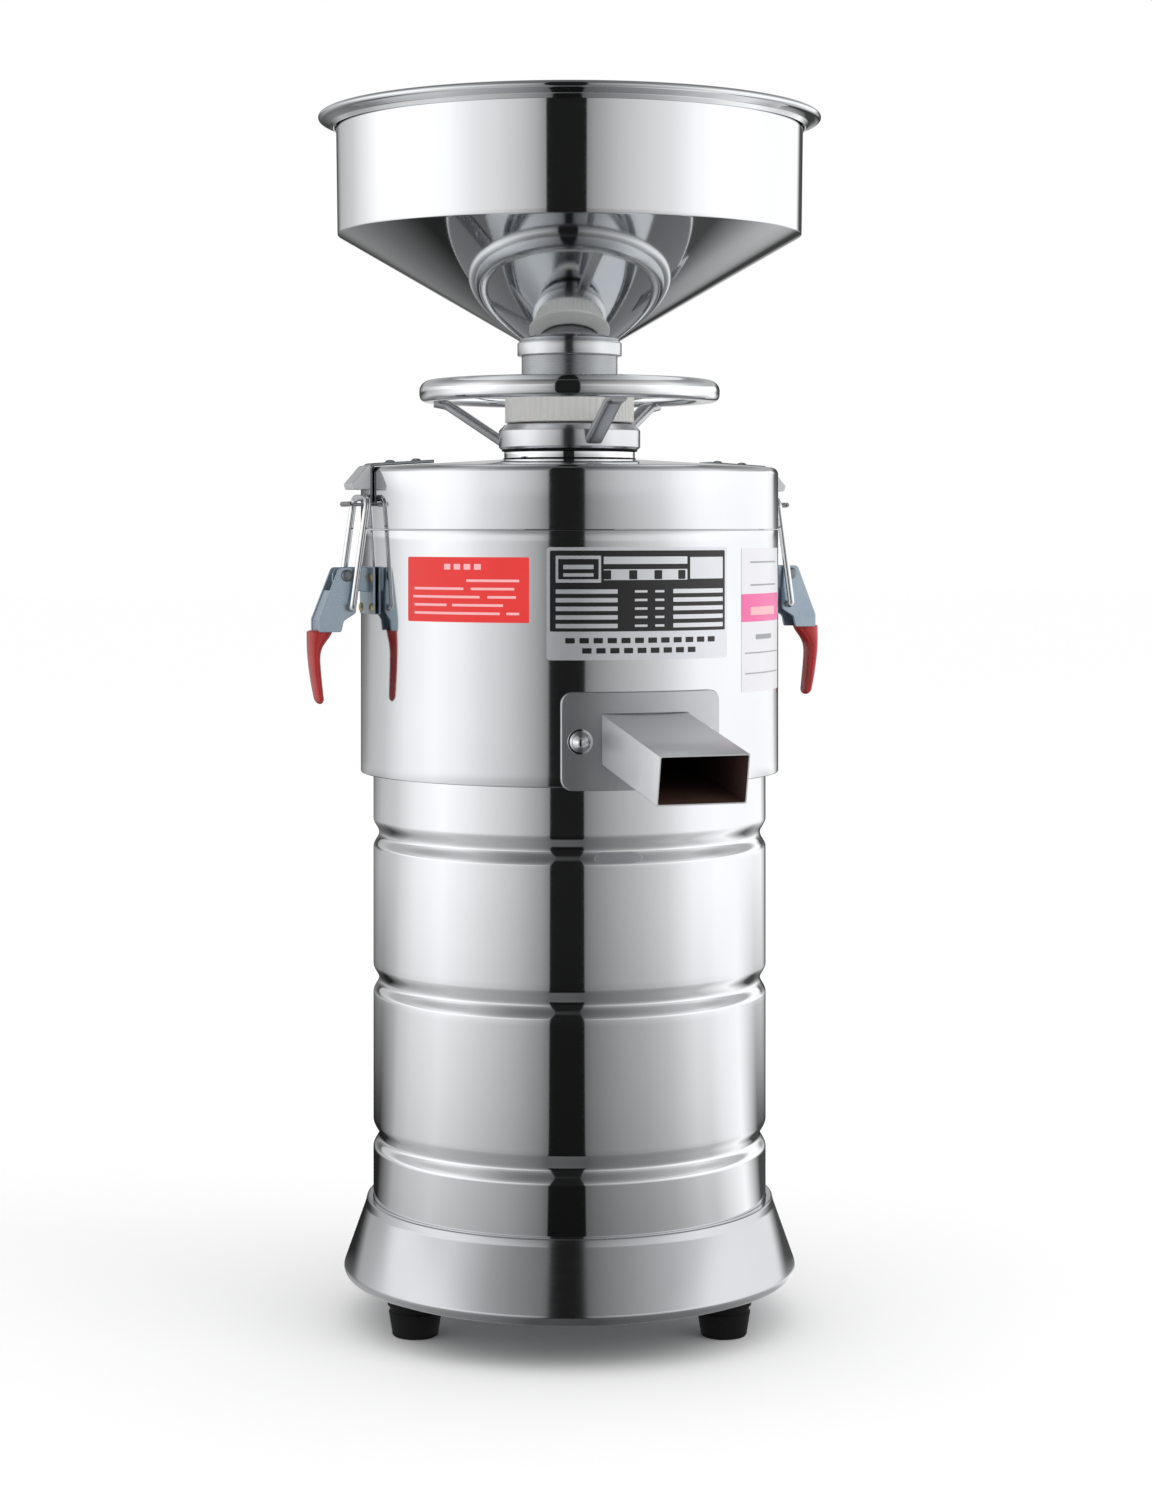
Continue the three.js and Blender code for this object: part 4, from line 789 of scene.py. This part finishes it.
# the keeper strap's width, its hem's distance from the axis, and its fall along the lid's top
KEEPER_WIDTH, HEM_OUT, KEEPER_SLOPE = 18, 147.2, 0.0613
for side, azimuth in (("right", RIGHT), ("left", LEFT)):
    # keeper: a strap from the lid's top over its shoulder, bent out below into a hook with a hem
    keeper = dense(rounded([(93, 540.0), (133.8, 537.5, 3.2), (133.8, 512.9, 2.6), (HEM_OUT, 512.9, 1.4),
        (HEM_OUT, 514.4)], 9), 2)
    strap(f"latch_keeper_{side}", keeper, (KEEPER_WIDTH, 2, 0.7), dull_steel, "lid", [f"keeper_{side}"],
        azimuth)
    hem = [(HEM_OUT, place, 513.2) for place in np.linspace(-KEEPER_WIDTH / 2, KEEPER_WIDTH / 2, 12)]
    swept(f"latch_keeper_hem_{side}", hem, circle(1.6, 28), (0, 0, 1), dull_steel, "lid", azimuth=azimuth)
    hood = loop_of([(134.0, 522.1), (134.0, 537.3, 0.8), (136.6, 537.0, 3), (146.6, 525.4, 1.6),
        (145.4, 522.1, 0.6)], 6)
    plate(f"latch_keeper_hood_{side}", hood, KEEPER_WIDTH, 0, 0.5, mill_steel, "lid", azimuth)
    for tag, out in (("a", 102.0), ("b", 119.0)):
        head = 541.0 - (out - 93) * KEEPER_SLOPE
        centre = turn([[out, 0, 0]], azimuth)[0, :2]
        lathe(f"latch_keeper_rivet_{tag}_{side}", rounded([(0, head - 1), (3.4, head - 1), (3.4, head, 0.3),
            (2.4, head + 1.1, 2), (0, head + 1.5)], 6), dull_steel, "lid", closed=False, around=40,
            centre=centre)
    # bracket: a plate with two rounded ears
    base = [(CHAMBER + 0.3, 445.0), (CHAMBER + 1.8, 445.0), (CHAMBER + 1.8, 474.5), (CHAMBER + 0.3, 474.5)]
    plate(f"latch_plate_{side}", base, 30, 0, 0.4, zinc_plate, "machine", azimuth, [f"latch_bracket_{side}"])
    rivet = rounded([(0, CHAMBER + 1), (2.9, CHAMBER + 1), (2.9, CHAMBER + 2.6, 0.4),
        (2.0, CHAMBER + 3.5, 1.5), (0, CHAMBER + 3.8)], 6)
    for tag, swing, height in (("a", -4.9, 467.5), ("b", 4.9, 467.5), ("c", -4.9, 449.0), ("d", 4.9, 449.0)):
        lathe_out(f"latch_plate_rivet_{tag}_{side}", rivet, azimuth + swing, height, yellow_zinc, "machine",
            around=32)
    ear = loop_of([(CHAMBER + 1.2, 458.5), (PIVOT[0] + 5, 461.5, 5), (PIVOT[0] + 5, 474, 5),
        (CHAMBER + 1.2, 474.2, 2)], 9)
    for tag, place in (("a", -6.6), ("b", 6.6)):
        plate(f"latch_ear_{tag}_{side}", ear, 2, place, 0.35, zinc_plate, "machine", azimuth)
    # pivot pin with two domed heads, across the ears
    half = 10.2
    pin = rounded([(0, -half - 2.0), (3.0, -half - 1.8, 1.2), (4, -half, 0.8), (2.5, -half, 0.2),
        (2.5, half, 0.2), (4, half, 0.8), (3.0, half + 1.8, 1.2), (0, half + 2.0)], 6)
    angle = full_turn(40)
    ring = pin[1:-1]
    grid = np.stack([PIVOT[0] + ring[:, :1] * np.cos(angle), np.repeat(ring[:, 1:2], 40, axis=1),
        PIVOT[1] - ring[:, :1] * np.sin(angle)], -1)
    solid(f"latch_rivet_{side}", grid, machined_steel, "machine", [f"latch_pin_{side}"],
        poles=[[PIVOT[0], pin[k][1], PIVOT[1]] for k in (0, -1)], azimuth=azimuth)
    # handle: two cheeks with a rounded back, joined by a web behind
    cheek = loop_of([(CHAMBER + 12, 474, 1.5), (CHAMBER + 11, 446, 3), (CHAMBER + 19, 441, 3),
        (CHAMBER + 20.5, 434.2, 1.5), (CHAMBER + 34.8, 434.2, 1.2), (CHAMBER + 34.8, 442, 3),
        (CHAMBER + 22, 474, 3)], 10)
    for tag, place in (("a", -8.9), ("b", 8.9)):
        plate(f"latch_cheek_{tag}_{side}", cheek, 2, place, 0.35, zinc_plate, f"latch_{side}", azimuth,
            [f"latch_handle_{side}"] if tag == "a" else (), "zinc_plate")
    back = rounded([(CHAMBER + 26.2, 459.5), (CHAMBER + 33.4, 441.5, 3), (CHAMBER + 33.4, 435.0)], 10)
    strap(f"latch_web_{side}", back, (17.5, 1.8, 0.5), zinc_plate, f"latch_{side}", (), azimuth, "zinc_plate")
    # grip: wide where it leaves the cheeks, then a slim finger with a rounded tip
    share = (1 - np.cos(np.linspace(0, pi, 56))) / 2
    drop = 435.6 - 46.0 * share
    outer_edge = CHAMBER + 39.6 - 5.6 * share ** 2
    inner_edge = CHAMBER + 33.2 - 3.8 * share ** 1.5 - 9.2 * np.exp(-(share / 0.2) ** 2)
    middle = (outer_edge + inner_edge) / 2
    swell = np.sqrt(np.clip(1 - np.clip(1 - share / 0.03, 0, 1) ** 2, 0, 1)
        * np.clip(1 - np.clip((share - 0.92) / 0.08, 0, 1) ** 2, 0, 1))
    half_deep = (outer_edge - inner_edge) / 2 * swell
    half_wide = (7.8 - 1.6 * share) * swell
    angle = full_turn(32)
    oval = [np.sign(wave) * np.abs(wave) ** 0.8 for wave in (np.cos(angle), np.sin(angle))]
    grid = np.stack(np.broadcast_arrays(middle[:, None] + half_deep[:, None] * oval[0],
        half_wide[:, None] * -oval[1], drop[:, None]), -1)[1:-1]
    solid(f"latch_dipped_grip_{side}", grid, red_vinyl, f"latch_{side}", [f"latch_grip_{side}"],
        poles=[[middle[k], 0, drop[k]] for k in (0, -1)], azimuth=azimuth)
    # U-bolt: one bent rod from trunnion to trunnion over the keeper
    length = np.linalg.norm(BAR - TRUNNION)
    lean = (BAR - TRUNNION) / length
    bent = dense(rounded([(10.3, 0), (15.5, 0, 3.5), (15.5, length, 5), (-15.5, length, 5), (-15.5, 0, 3.5),
        (-10.3, 0)], 10), 4)
    path = np.stack([TRUNNION[0] + bent[:, 1] * lean[0], bent[:, 0], TRUNNION[1] + bent[:, 1] * lean[1]], 1)
    swept(f"latch_bent_rod_{side}", path, circle(ROD, 20), (-lean[1], 0, lean[0]), chrome, f"u_bolt_{side}",
        [f"latch_u_bolt_{side}"], azimuth)

# Switch and cable gland, behind

SWITCH_HEIGHT = 164.67
front_face = DRUM + 0.3 + 12
face_outline = loop_of(box(19, -15, 15, 4), 9)
pocket_outline = loop_of(box(13, -9, 9, 1.5), 9)
grid = np.stack([np.stack([np.full(len(outline), distance), outline[:, 0] * scale,
                           SWITCH_HEIGHT + outline[:, 1] * scale], -1)
                 for outline, scale, distance in (
    (face_outline, 1.0, DRUM - 5), (face_outline, 1.0, front_face - 1.6),
    (face_outline, 0.985, front_face - 0.6), (face_outline, 0.95, front_face),
    (pocket_outline, 1.06, front_face), (pocket_outline, 1.0, front_face - 0.5),
    (pocket_outline, 1.0, front_face - 8), (pocket_outline, 0.5, front_face - 8))])
solid("switch_moulded_housing", grid, abs_plastic, "machine", ["switch_housing"],
    poles=[[out, 0, SWITCH_HEIGHT] for out in (DRUM - 5, front_face - 8)], azimuth=SWITCH_AZIMUTH)
rocker_outline = loop_of([(front_face - 6, SWITCH_HEIGHT - 4, 1), (front_face, SWITCH_HEIGHT - 7.8, 0.6),
    (front_face + 2.7, SWITCH_HEIGHT - 7.8, 0.9), (front_face + 1.0, SWITCH_HEIGHT, 14),
    (front_face + 2.7, SWITCH_HEIGHT + 7.8, 0.9), (front_face, SWITCH_HEIGHT + 7.8, 0.6),
    (front_face - 6, SWITCH_HEIGHT + 4, 1)], 8)
plate("switch_rocker_cap", rocker_outline, 23.4, 0, 0.5, red_vinyl, "rocker", SWITCH_AZIMUTH,
    ["switch_rocker"])
gland_face = DRUM + 0.3
angle = full_turn(96)
hexagon = 10.2 / np.maximum.reduce([np.abs(np.cos(angle - k * pi / 3)) for k in range(3)]) * 0.93
grid = np.stack([facing_out(radius, angle, gland_face + distance, SWITCH_HEIGHT)
                 for radius, distance in (
    (4.5, -4), (11, 0), (11, 2), (10.2, 2.4), (hexagon * 0.98, 2.5), (hexagon, 3.2), (hexagon, 7.4),
    (hexagon * 0.96, 8), (8.6, 8.2), (8.6, 9.0), (8.9, 9.4), (8.9, 14.5), (8.2, 16.6), (6.6, 17.8),
    (5.2, 18), (4.6, 17.4), (4.5, -3.9))])
solid("cable_gland_moulded", grid, abs_plastic, "machine", ["cable_gland"], closed=True, azimuth=REAR)

# Basket: a cone of perforated sheet with a plain foot and rim

radius, bottom, top = extent("sieve_basket")


def perforated(lower, upper, rows, columns, share):
    """A cone between two circles [radius, height], cut into rows by columns of cells. Each cell has
    an octagonal hole: eight points on its border and eight on its hole make eight faces."""
    row, column = np.meshgrid(np.arange(rows), np.arange(columns), indexing="ij")
    border = np.array([(0, 0), (0.5, 0), (1, 0), (1, 0.5), (1, 1), (0.5, 1), (0, 1), (0, 0.5)])
    bearing = np.arctan2(border[:, 1] - 0.5, border[:, 0] - 0.5)
    hole = 0.5 + share / 2 * np.stack([np.cos(bearing), np.sin(bearing)], -1)
    place = np.concatenate([border, hole])
    u = (column[..., None] + place[:, 0] + 0.5 * (row[..., None] % 2)) / columns * 2 * pi
    v = (row[..., None] + place[:, 1]) / rows
    radius = lower[0] + (upper[0] - lower[0]) * v
    points = upright(radius, u, lower[1] + (upper[1] - lower[1]) * v)
    k = np.arange(8)
    cell = np.stack([k, (k + 1) % 8, 8 + (k + 1) % 8, 8 + k], 1)
    faces = (np.arange(rows * columns)[:, None, None] * 16 + cell).reshape(-1, 4)
    return points.reshape(-1, 3), faces


foot_circle = (62.6, bottom + 3.0)
rim_circle = (radius - 7.2, top - 4.0)
points, faces = perforated(foot_circle, rim_circle, 14, 96, 0.56)
basket = mesh_piece("basket_perforated_cone", points, [faces], None, satin_steel, "rotor", ["sieve_basket"])
outward(basket.data, 0.00005)
# its map is unrolled at the cone's mean radius, in metres
MEAN_RADIUS = 0.09
layer = basket.data.uv_layers.new(name="surface")
corner = np.zeros(len(basket.data.loops), int)
basket.data.loops.foreach_get("vertex_index", corner)
place = np.zeros(len(basket.data.vertices) * 3)
basket.data.vertices.foreach_get("co", place)
place = place.reshape(-1, 3)[corner]
layer.data.foreach_set("uv", np.stack([np.arctan2(place[:, 1], place[:, 0]) * MEAN_RADIUS, place[:, 2]],
    1).ravel())
thick = basket.modifiers.new("wall", "SOLIDIFY")
thick.thickness, thick.offset = 1.0 * MM, -1
lathe("basket_plain_rim", loop_of([(rim_circle[0] - 1.4, rim_circle[1] - 1, 0.4),
    (rim_circle[0] + 0.4, rim_circle[1] - 1, 0.4), (rim_circle[0] + 2.2, top - 1.5, 1.5),
    (radius, top - 1.5, 0.6), (radius, top, 0.6), (rim_circle[0] + 0.6, top, 1.5)]), satin_steel, "rotor")
lathe("basket_plain_foot", loop_of([(52, bottom, 0.4), (62.4, bottom, 1.0),
    (foot_circle[0] + 1.2, foot_circle[1] + 0.8, 0.4), (foot_circle[0] - 0.8, foot_circle[1] + 1.2, 0.4),
    (61.2, bottom + 1.5, 1.0), (52, bottom + 1.5, 0.4)]), satin_steel, "rotor")

# Label places: plain film and foil on the chamber, with no words


def rounded_sheet(width, height, bottom, corner):
    """Half width at each height of a rectangle with quarter-round corners."""
    def half_width(z):
        reach = np.clip(np.maximum(bottom + corner - z, z - (bottom + height - corner)), 0, corner)
        return width / 2 - corner + np.sqrt(corner ** 2 - reach ** 2)
    return half_width


def label(name, azimuth, across, width, bottom, height, layer, material, corner=1.0):
    """A film patch whose middle lies across millimetres of arc from the azimuth."""
    inner = CHAMBER + 0.02 + 0.10 * layer
    curved_patch(name, rounded_sheet(width, height, bottom, corner), azimuth + degrees(across / CHAMBER),
        bottom, bottom + height, inner, inner + 0.12, material)


PLATE_AZIMUTH, NOTICE_AZIMUTH, SEAL_AZIMUTH = 0, -49, 46
# Rating plate: a black field with plain bars where its words would be, over a foil foot with more
label("rating_plate_foil", PLATE_AZIMUTH, 0, 120, 420, 67, 0, silver_foil, 2)
label("rating_plate_field", PLATE_AZIMUTH, 0, 116, 437, 48, 1, black_foil, 0.8)
# each bar: place across, width, bottom, height, material, layer
plate_bars = [(-41, 27, 466, 16, silver_foil, 2), (-41, 24, 468, 12, black_foil, 3),
    (43, 26, 468, 13, silver_foil, 2), (1, 54, 477, 4.4, silver_foil, 2),
    (1, 54, 467.5, 6.4, silver_foil, 2), (-41, 18, 474, 2.6, silver_foil, 4),
    (-41, 18, 469.6, 2.0, silver_foil, 4)]
for row in range(5):
    height = 439 + 5.1 * row
    plate_bars += [(-36, 37, height, 2.6, silver_foil, 2), (-3, 8, height + 0.6, 1.4, silver_foil, 2),
                   (9, 6, height + 0.6, 1.4, silver_foil, 2), (37, 38, height, 2.6, silver_foil, 2)]
plate_bars += [(-46 + 8.4 * k, 5.6, 430, 3.2, black_foil, 1) for k in range(12)]
plate_bars += [(-36 + 8.4 * k, 5.6, 424, 3.2, black_foil, 1) for k in range(9)]
plate_bars += [(-24 + 16 * k, 5, 467.9, 5.4, black_foil, 3) for k in range(4)]
for index, (across, width, bottom, height, material, layer) in enumerate(plate_bars, 1):
    label(f"rating_plate_bar_{index:02d}", PLATE_AZIMUTH, across, width, bottom, height, layer, material, 0.3)

# Notice: red film with pale bars in rows
label("notice_film_red", NOTICE_AZIMUTH, 0, 86, 442, 39, 0, red_film)
notice_bars = [(-10.5 + 7 * k, 4.6, 473.5, 3.4) for k in range(4)]
notice_bars += [(across, width, 466.2 - 4.9 * row, 1.5) for row, across,
    width in ((0, 20, 34), (1, -18, 38), (1, 20, 28), (2, -13, 50), (2, 26, 18), (3, -24, 26), (3, 10, 34),
    (4, -6, 62), (4, 33, 8))]
for index, (across, width, bottom, height) in enumerate(notice_bars, 1):
    label(f"notice_bar_{index:02d}", NOTICE_AZIMUTH, across, width, bottom, height, 1, pale_film, 0.3)

# Seal: white film with a pink band and a few grey rules
label("seal_film_white", SEAL_AZIMUTH, 0, 64, 398, 88, 0, white_film)
label("seal_film_band", SEAL_AZIMUTH, 0, 64, 441, 17, 1, pink_film, 0.5)
label("seal_band_bar", SEAL_AZIMUTH, -2, 40, 445, 5, 2, pale_film, 0.5)
for index, (across, width, bottom, height) in enumerate(((-2, 26, 430, 3), (0, 56, 421.5, 0.7),
        (0, 56, 409, 0.7), (0, 44, 477, 0.9), (0, 44, 463, 0.9)), 1):
    label(f"seal_rule_{index}", SEAL_AZIMUTH, across, width, bottom, height, 1, grey_film, 0.2)

# CAD nodes that stay get a worked finish

for names, material in ((("base_plate", "foot_bolt_1", "foot_bolt_2", "foot_bolt_3", "stator_core",
        "bearing_lower", "bearing_upper", "motor_shaft", "rotor_core", "stone_nut"), machined_steel),
        (("motor_bell_lower", "motor_bell_upper", "basket_carrier", "upper_stone_holder"), cast_aluminium),
        (("lower_stone", "upper_stone"), stone), (("run_capacitor",), drawn_aluminium),
        (("cooling_fan",), abs_plastic)):
    for node in names:
        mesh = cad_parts[node].data
        mesh.materials.clear()
        mesh.materials.append(material)

# Stage: white floor, and a light tent that only shiny surfaces see


def emitter(name):
    """A plain glowing card whose strength comes from the attribute glow."""
    material = bpy.data.materials.new(name)
    tree = bare_tree(material)
    glow = add(tree, "ShaderNodeAttribute", attribute_name="glow")
    card = add(tree, "ShaderNodeEmission", {"Color": (1, 1, 1, 1), "Strength": glow.outputs["Fac"]})
    add(tree, "ShaderNodeOutputMaterial", {"Surface": card.outputs[0]})
    return material


# Glow of the tent by bearing (left of the camera is negative), one table per part that sees it
DRUM_GLOW = ((-180, 0.6), (-174, 0.6), (-169, 0.1), (-163, 0.25), (-150, 0.5), (-141, 0.65), (-118, 0.8),
    (-98, 1.2), (-76, 1.4), (-59, 1.18), (-43, 0.94), (-29, 0.73), (-14, 0.44), (-9.9, 0.3), (9.9, 0.25),
    (14, 0.33), (28, 0.51), (43, 0.67), (58, 0.88), (75, 1.28), (94, 1.42), (150, 1.3), (160, 0.6),
    (165, 0.06), (169, 0.05), (174, 0.6), (180, 0.6))
CHAMBER_GLOW = ((-180, 0.7), (-175, 0.7), (-170, 0.05), (-151, 0.06), (-145, 0.15), (-137, 0.5),
    (-118, 0.78), (-98, 1.25), (-76, 1.5), (-58, 1.36), (-45, 1.05), (-33, 0.88), (-21, 0.65), (-14, 0.46),
    (-9.9, 0.3), (9.9, 0.24), (14, 0.35), (26, 0.58), (38, 0.76), (51, 0.95), (64, 1.28), (78, 1.45),
    (139, 1.38), (148, 1.1), (154, 0.15), (170, 0.05), (175, 0.7), (180, 0.7))
HOPPER_GLOW = ((-180, 0.6), (-176, 0.6), (-171, 0.1), (-161, 0.12), (-151, 0.55), (-130, 0.82),
    (-104, 1.45), (-76, 1.5), (-58, 1.4), (-45, 1.13), (-33, 0.98), (-21, 0.76), (-14, 0.58), (-9.9, 0.4),
    (9.9, 0.34), (14, 0.46), (26, 0.71), (38, 0.88), (51, 1.04), (64, 1.34), (78, 1.5), (139, 1.38),
    (150, 1.3), (157, 0.1), (171, 0.05), (176, 0.6), (180, 0.6))
SKIRT_GLOW = ((-180, 0.45), (-150, 0.5), (-123, 0.6), (-101, 0.85), (-84, 1.15), (-68, 1.2), (-54, 0.88),
    (-41, 0.59), (-29, 0.44), (-16, 0.33), (-9.9, 0.28), (9.9, 0.22), (20, 0.36), (32, 0.475), (45, 0.63),
    (58, 0.77), (73, 0.97), (89, 1.15), (107, 0.8), (131, 0.6), (180, 0.45))
TENT_MIDDLE, TENT_RADIUS, TENT_TOP = 300, 6700, 8300
# The slot's half width in degrees of bearing, and its glow
SLOT_HALF_WIDTH, SLOT_GLOW = 9.5, 0.015
# Rise in degrees above the tent's middle at which each table holds
TENT_LEVELS = ((-6.5, DRUM_GLOW), (3.8, CHAMBER_GLOW), (5.5, HOPPER_GLOW), (11.0, HOPPER_GLOW),
    (15.0, SKIRT_GLOW), (40.0, SKIRT_GLOW))


def tent_glow(grid):
    """How bright the tent is at each point: the tables blended by rise, dimmer overhead, with a dark
    slot where the camera stands, and a table top that darkens towards the machine and behind it."""
    far = np.hypot(grid[..., 0], grid[..., 1])
    rise = np.degrees(np.arctan2(grid[..., 2] - TENT_MIDDLE, far))
    bearing = np.degrees(np.arctan2(grid[..., 0], -grid[..., 1])) - CAMERA_AZIMUTH + 1.5
    bearing = (bearing + 180) % 360 - 180
    off = np.abs(bearing)
    rises = np.array([level for level, table in TENT_LEVELS])
    tables = np.stack([np.interp(bearing, *zip(*table)) for level, table in TENT_LEVELS])
    place = np.interp(rise, rises, np.arange(len(rises)))
    below = np.minimum(place.astype(int), len(rises) - 2)[None]
    share = place - below[0]
    wall = (np.take_along_axis(tables, below, 0)[0] * (1 - share) + np.take_along_axis(tables, below + 1,
        0)[0] * share)
    wall = wall * np.interp(rise, (23, 31, 45, 60, 90), (1, 0.7, 0.5, 0.36, 0.3))
    wall = np.where((off < SLOT_HALF_WIDTH) & (rise > -40) & (rise < 56), SLOT_GLOW, wall)
    near = np.interp(far, (100, 443, 930, 2230), (0.42, 0.56, 0.74, 1.0))
    near = near + (1 - near) * np.clip((bearing - 85) / 30, 0, 1)
    behind = np.interp(off, (0, 112, 135, 180), (1, 1, 0.06, 0.05))
    behind = behind + (1 - behind) * np.interp(far, (620, 900, 1500, 3000), (0, 0.25, 0.6, 1))
    return np.where(grid[..., 2] < 5, wall * near * behind, wall)


tent_outline = np.array([(r, 2.0) for r in (0, 20, 60, 100, 150, 220, 300, 400, 550, 620, 800, 930, 1100,
    1400, 1900, 2500, 3300, 4300, 5600)] + [(TENT_RADIUS, TENT_MIDDLE + TENT_RADIUS * tan(radians(rise)))
    for rise in (-2, 0, 2, 3.8, 5.5, 8, 11, 13, 15, 19, 23, 27, 31)] + [(6300, 5000), (5400, 6100),
    (4000, 7100), (2300, 7800), (900, 8200), (0, TENT_TOP)])
ring = tent_outline[1:-1]
grid = upright(ring[:, :1], full_turn(1440), ring[:, 1:2])
points, parts, maps = skin(grid, False, [0, 0, 2.0], [0, 0, TENT_TOP])
tent = mesh_piece("light_tent", points, parts, None, emitter("light_tent_glow"))
glow = np.concatenate([tent_glow(grid).ravel(), [0.2, 0.3]])
tent.data.attributes.new("glow", "FLOAT", "POINT").data.foreach_set("value", glow.astype(np.float32))
tent.visible_camera = tent.visible_diffuse = tent.visible_shadow = False
tent.visible_transmission = tent.visible_volume_scatter = False

floor_material = bpy.data.materials.new("floor_white_paper")
tree = bare_tree(floor_material)
paper = add(tree, "ShaderNodeBsdfDiffuse", {"Color": linear("#ffffff")})
add(tree, "ShaderNodeOutputMaterial", {"Surface": paper.outputs[0]})
floor_mesh = bpy.data.meshes.new("floor")
floor_mesh.from_pydata([(-20, -20, 0), (20, -20, 0), (20, 20, 0), (-20, 20, 0)], [], [(0, 1, 2, 3)])
floor = seat("floor", floor_mesh, floor_material)

world = bpy.data.worlds.new("studio")
bpy.context.scene.world = world
tree = bare_tree(world)
ray = add(tree, "ShaderNodeLightPath")
seen = add(tree, "ShaderNodeMath", {0: ray.outputs["Is Camera Ray"], 1: ray.outputs["Is Glossy Ray"]},
    operation="MAXIMUM")
seen = add(tree, "ShaderNodeMath", {0: seen.outputs[0], 1: ray.outputs["Is Transmission Ray"]},
    operation="MAXIMUM")
level = add(tree, "ShaderNodeMapRange", {"Value": seen.outputs[0], "To Min": 0.995, "To Max": 1.0})
sky = add(tree, "ShaderNodeBackground", {"Color": (1, 1, 1, 1), "Strength": level.outputs[0]})
add(tree, "ShaderNodeOutputWorld", {"Surface": sky.outputs[0]})


def soft_box(name, azimuth, height, distance, size, power):
    """A square area lamp that faces the middle of the machine and shows in no reflection."""
    lamp = bpy.data.lights.new(name, "AREA")
    lamp.shape, lamp.size, lamp.energy = "SQUARE", size, power
    made = bpy.data.objects.new(name, lamp)
    angle = radians(azimuth)
    made.location = (sin(angle) * distance, -cos(angle) * distance, height)
    made.rotation_euler = (Vector((0, 0, 0.4)) - made.location).to_track_quat("-Z", "Y").to_euler()
    made.visible_glossy = False
    bpy.context.scene.collection.objects.link(made)


soft_box("soft_box_left", CAMERA_AZIMUTH - 50, 1.9, 2.2, 1.6, 3)
soft_box("soft_box_right", CAMERA_AZIMUTH + 60, 1.7, 2.4, 1.6, 12)

# Camera: level, 1.909 m from the axis, with a long side of 36 mm and a lens of 72 mm

camera_data = bpy.data.cameras.new("camera")
camera_data.lens, camera_data.sensor_width = 72, 36
camera_data.shift_x, camera_data.shift_y = 0.0043, -0.1487
camera = bpy.data.objects.new("camera", camera_data)
bpy.context.scene.collection.objects.link(camera)
CAMERA_DISTANCE, CAMERA_HEIGHT = 1.909, 0.499
angle = radians(CAMERA_AZIMUTH)
camera.location = (sin(angle) * CAMERA_DISTANCE, -cos(angle) * CAMERA_DISTANCE, CAMERA_HEIGHT)
camera.rotation_euler = (pi / 2, 0, angle)
bpy.context.scene.camera = camera
bpy.context.scene.view_settings.view_transform = "Standard"
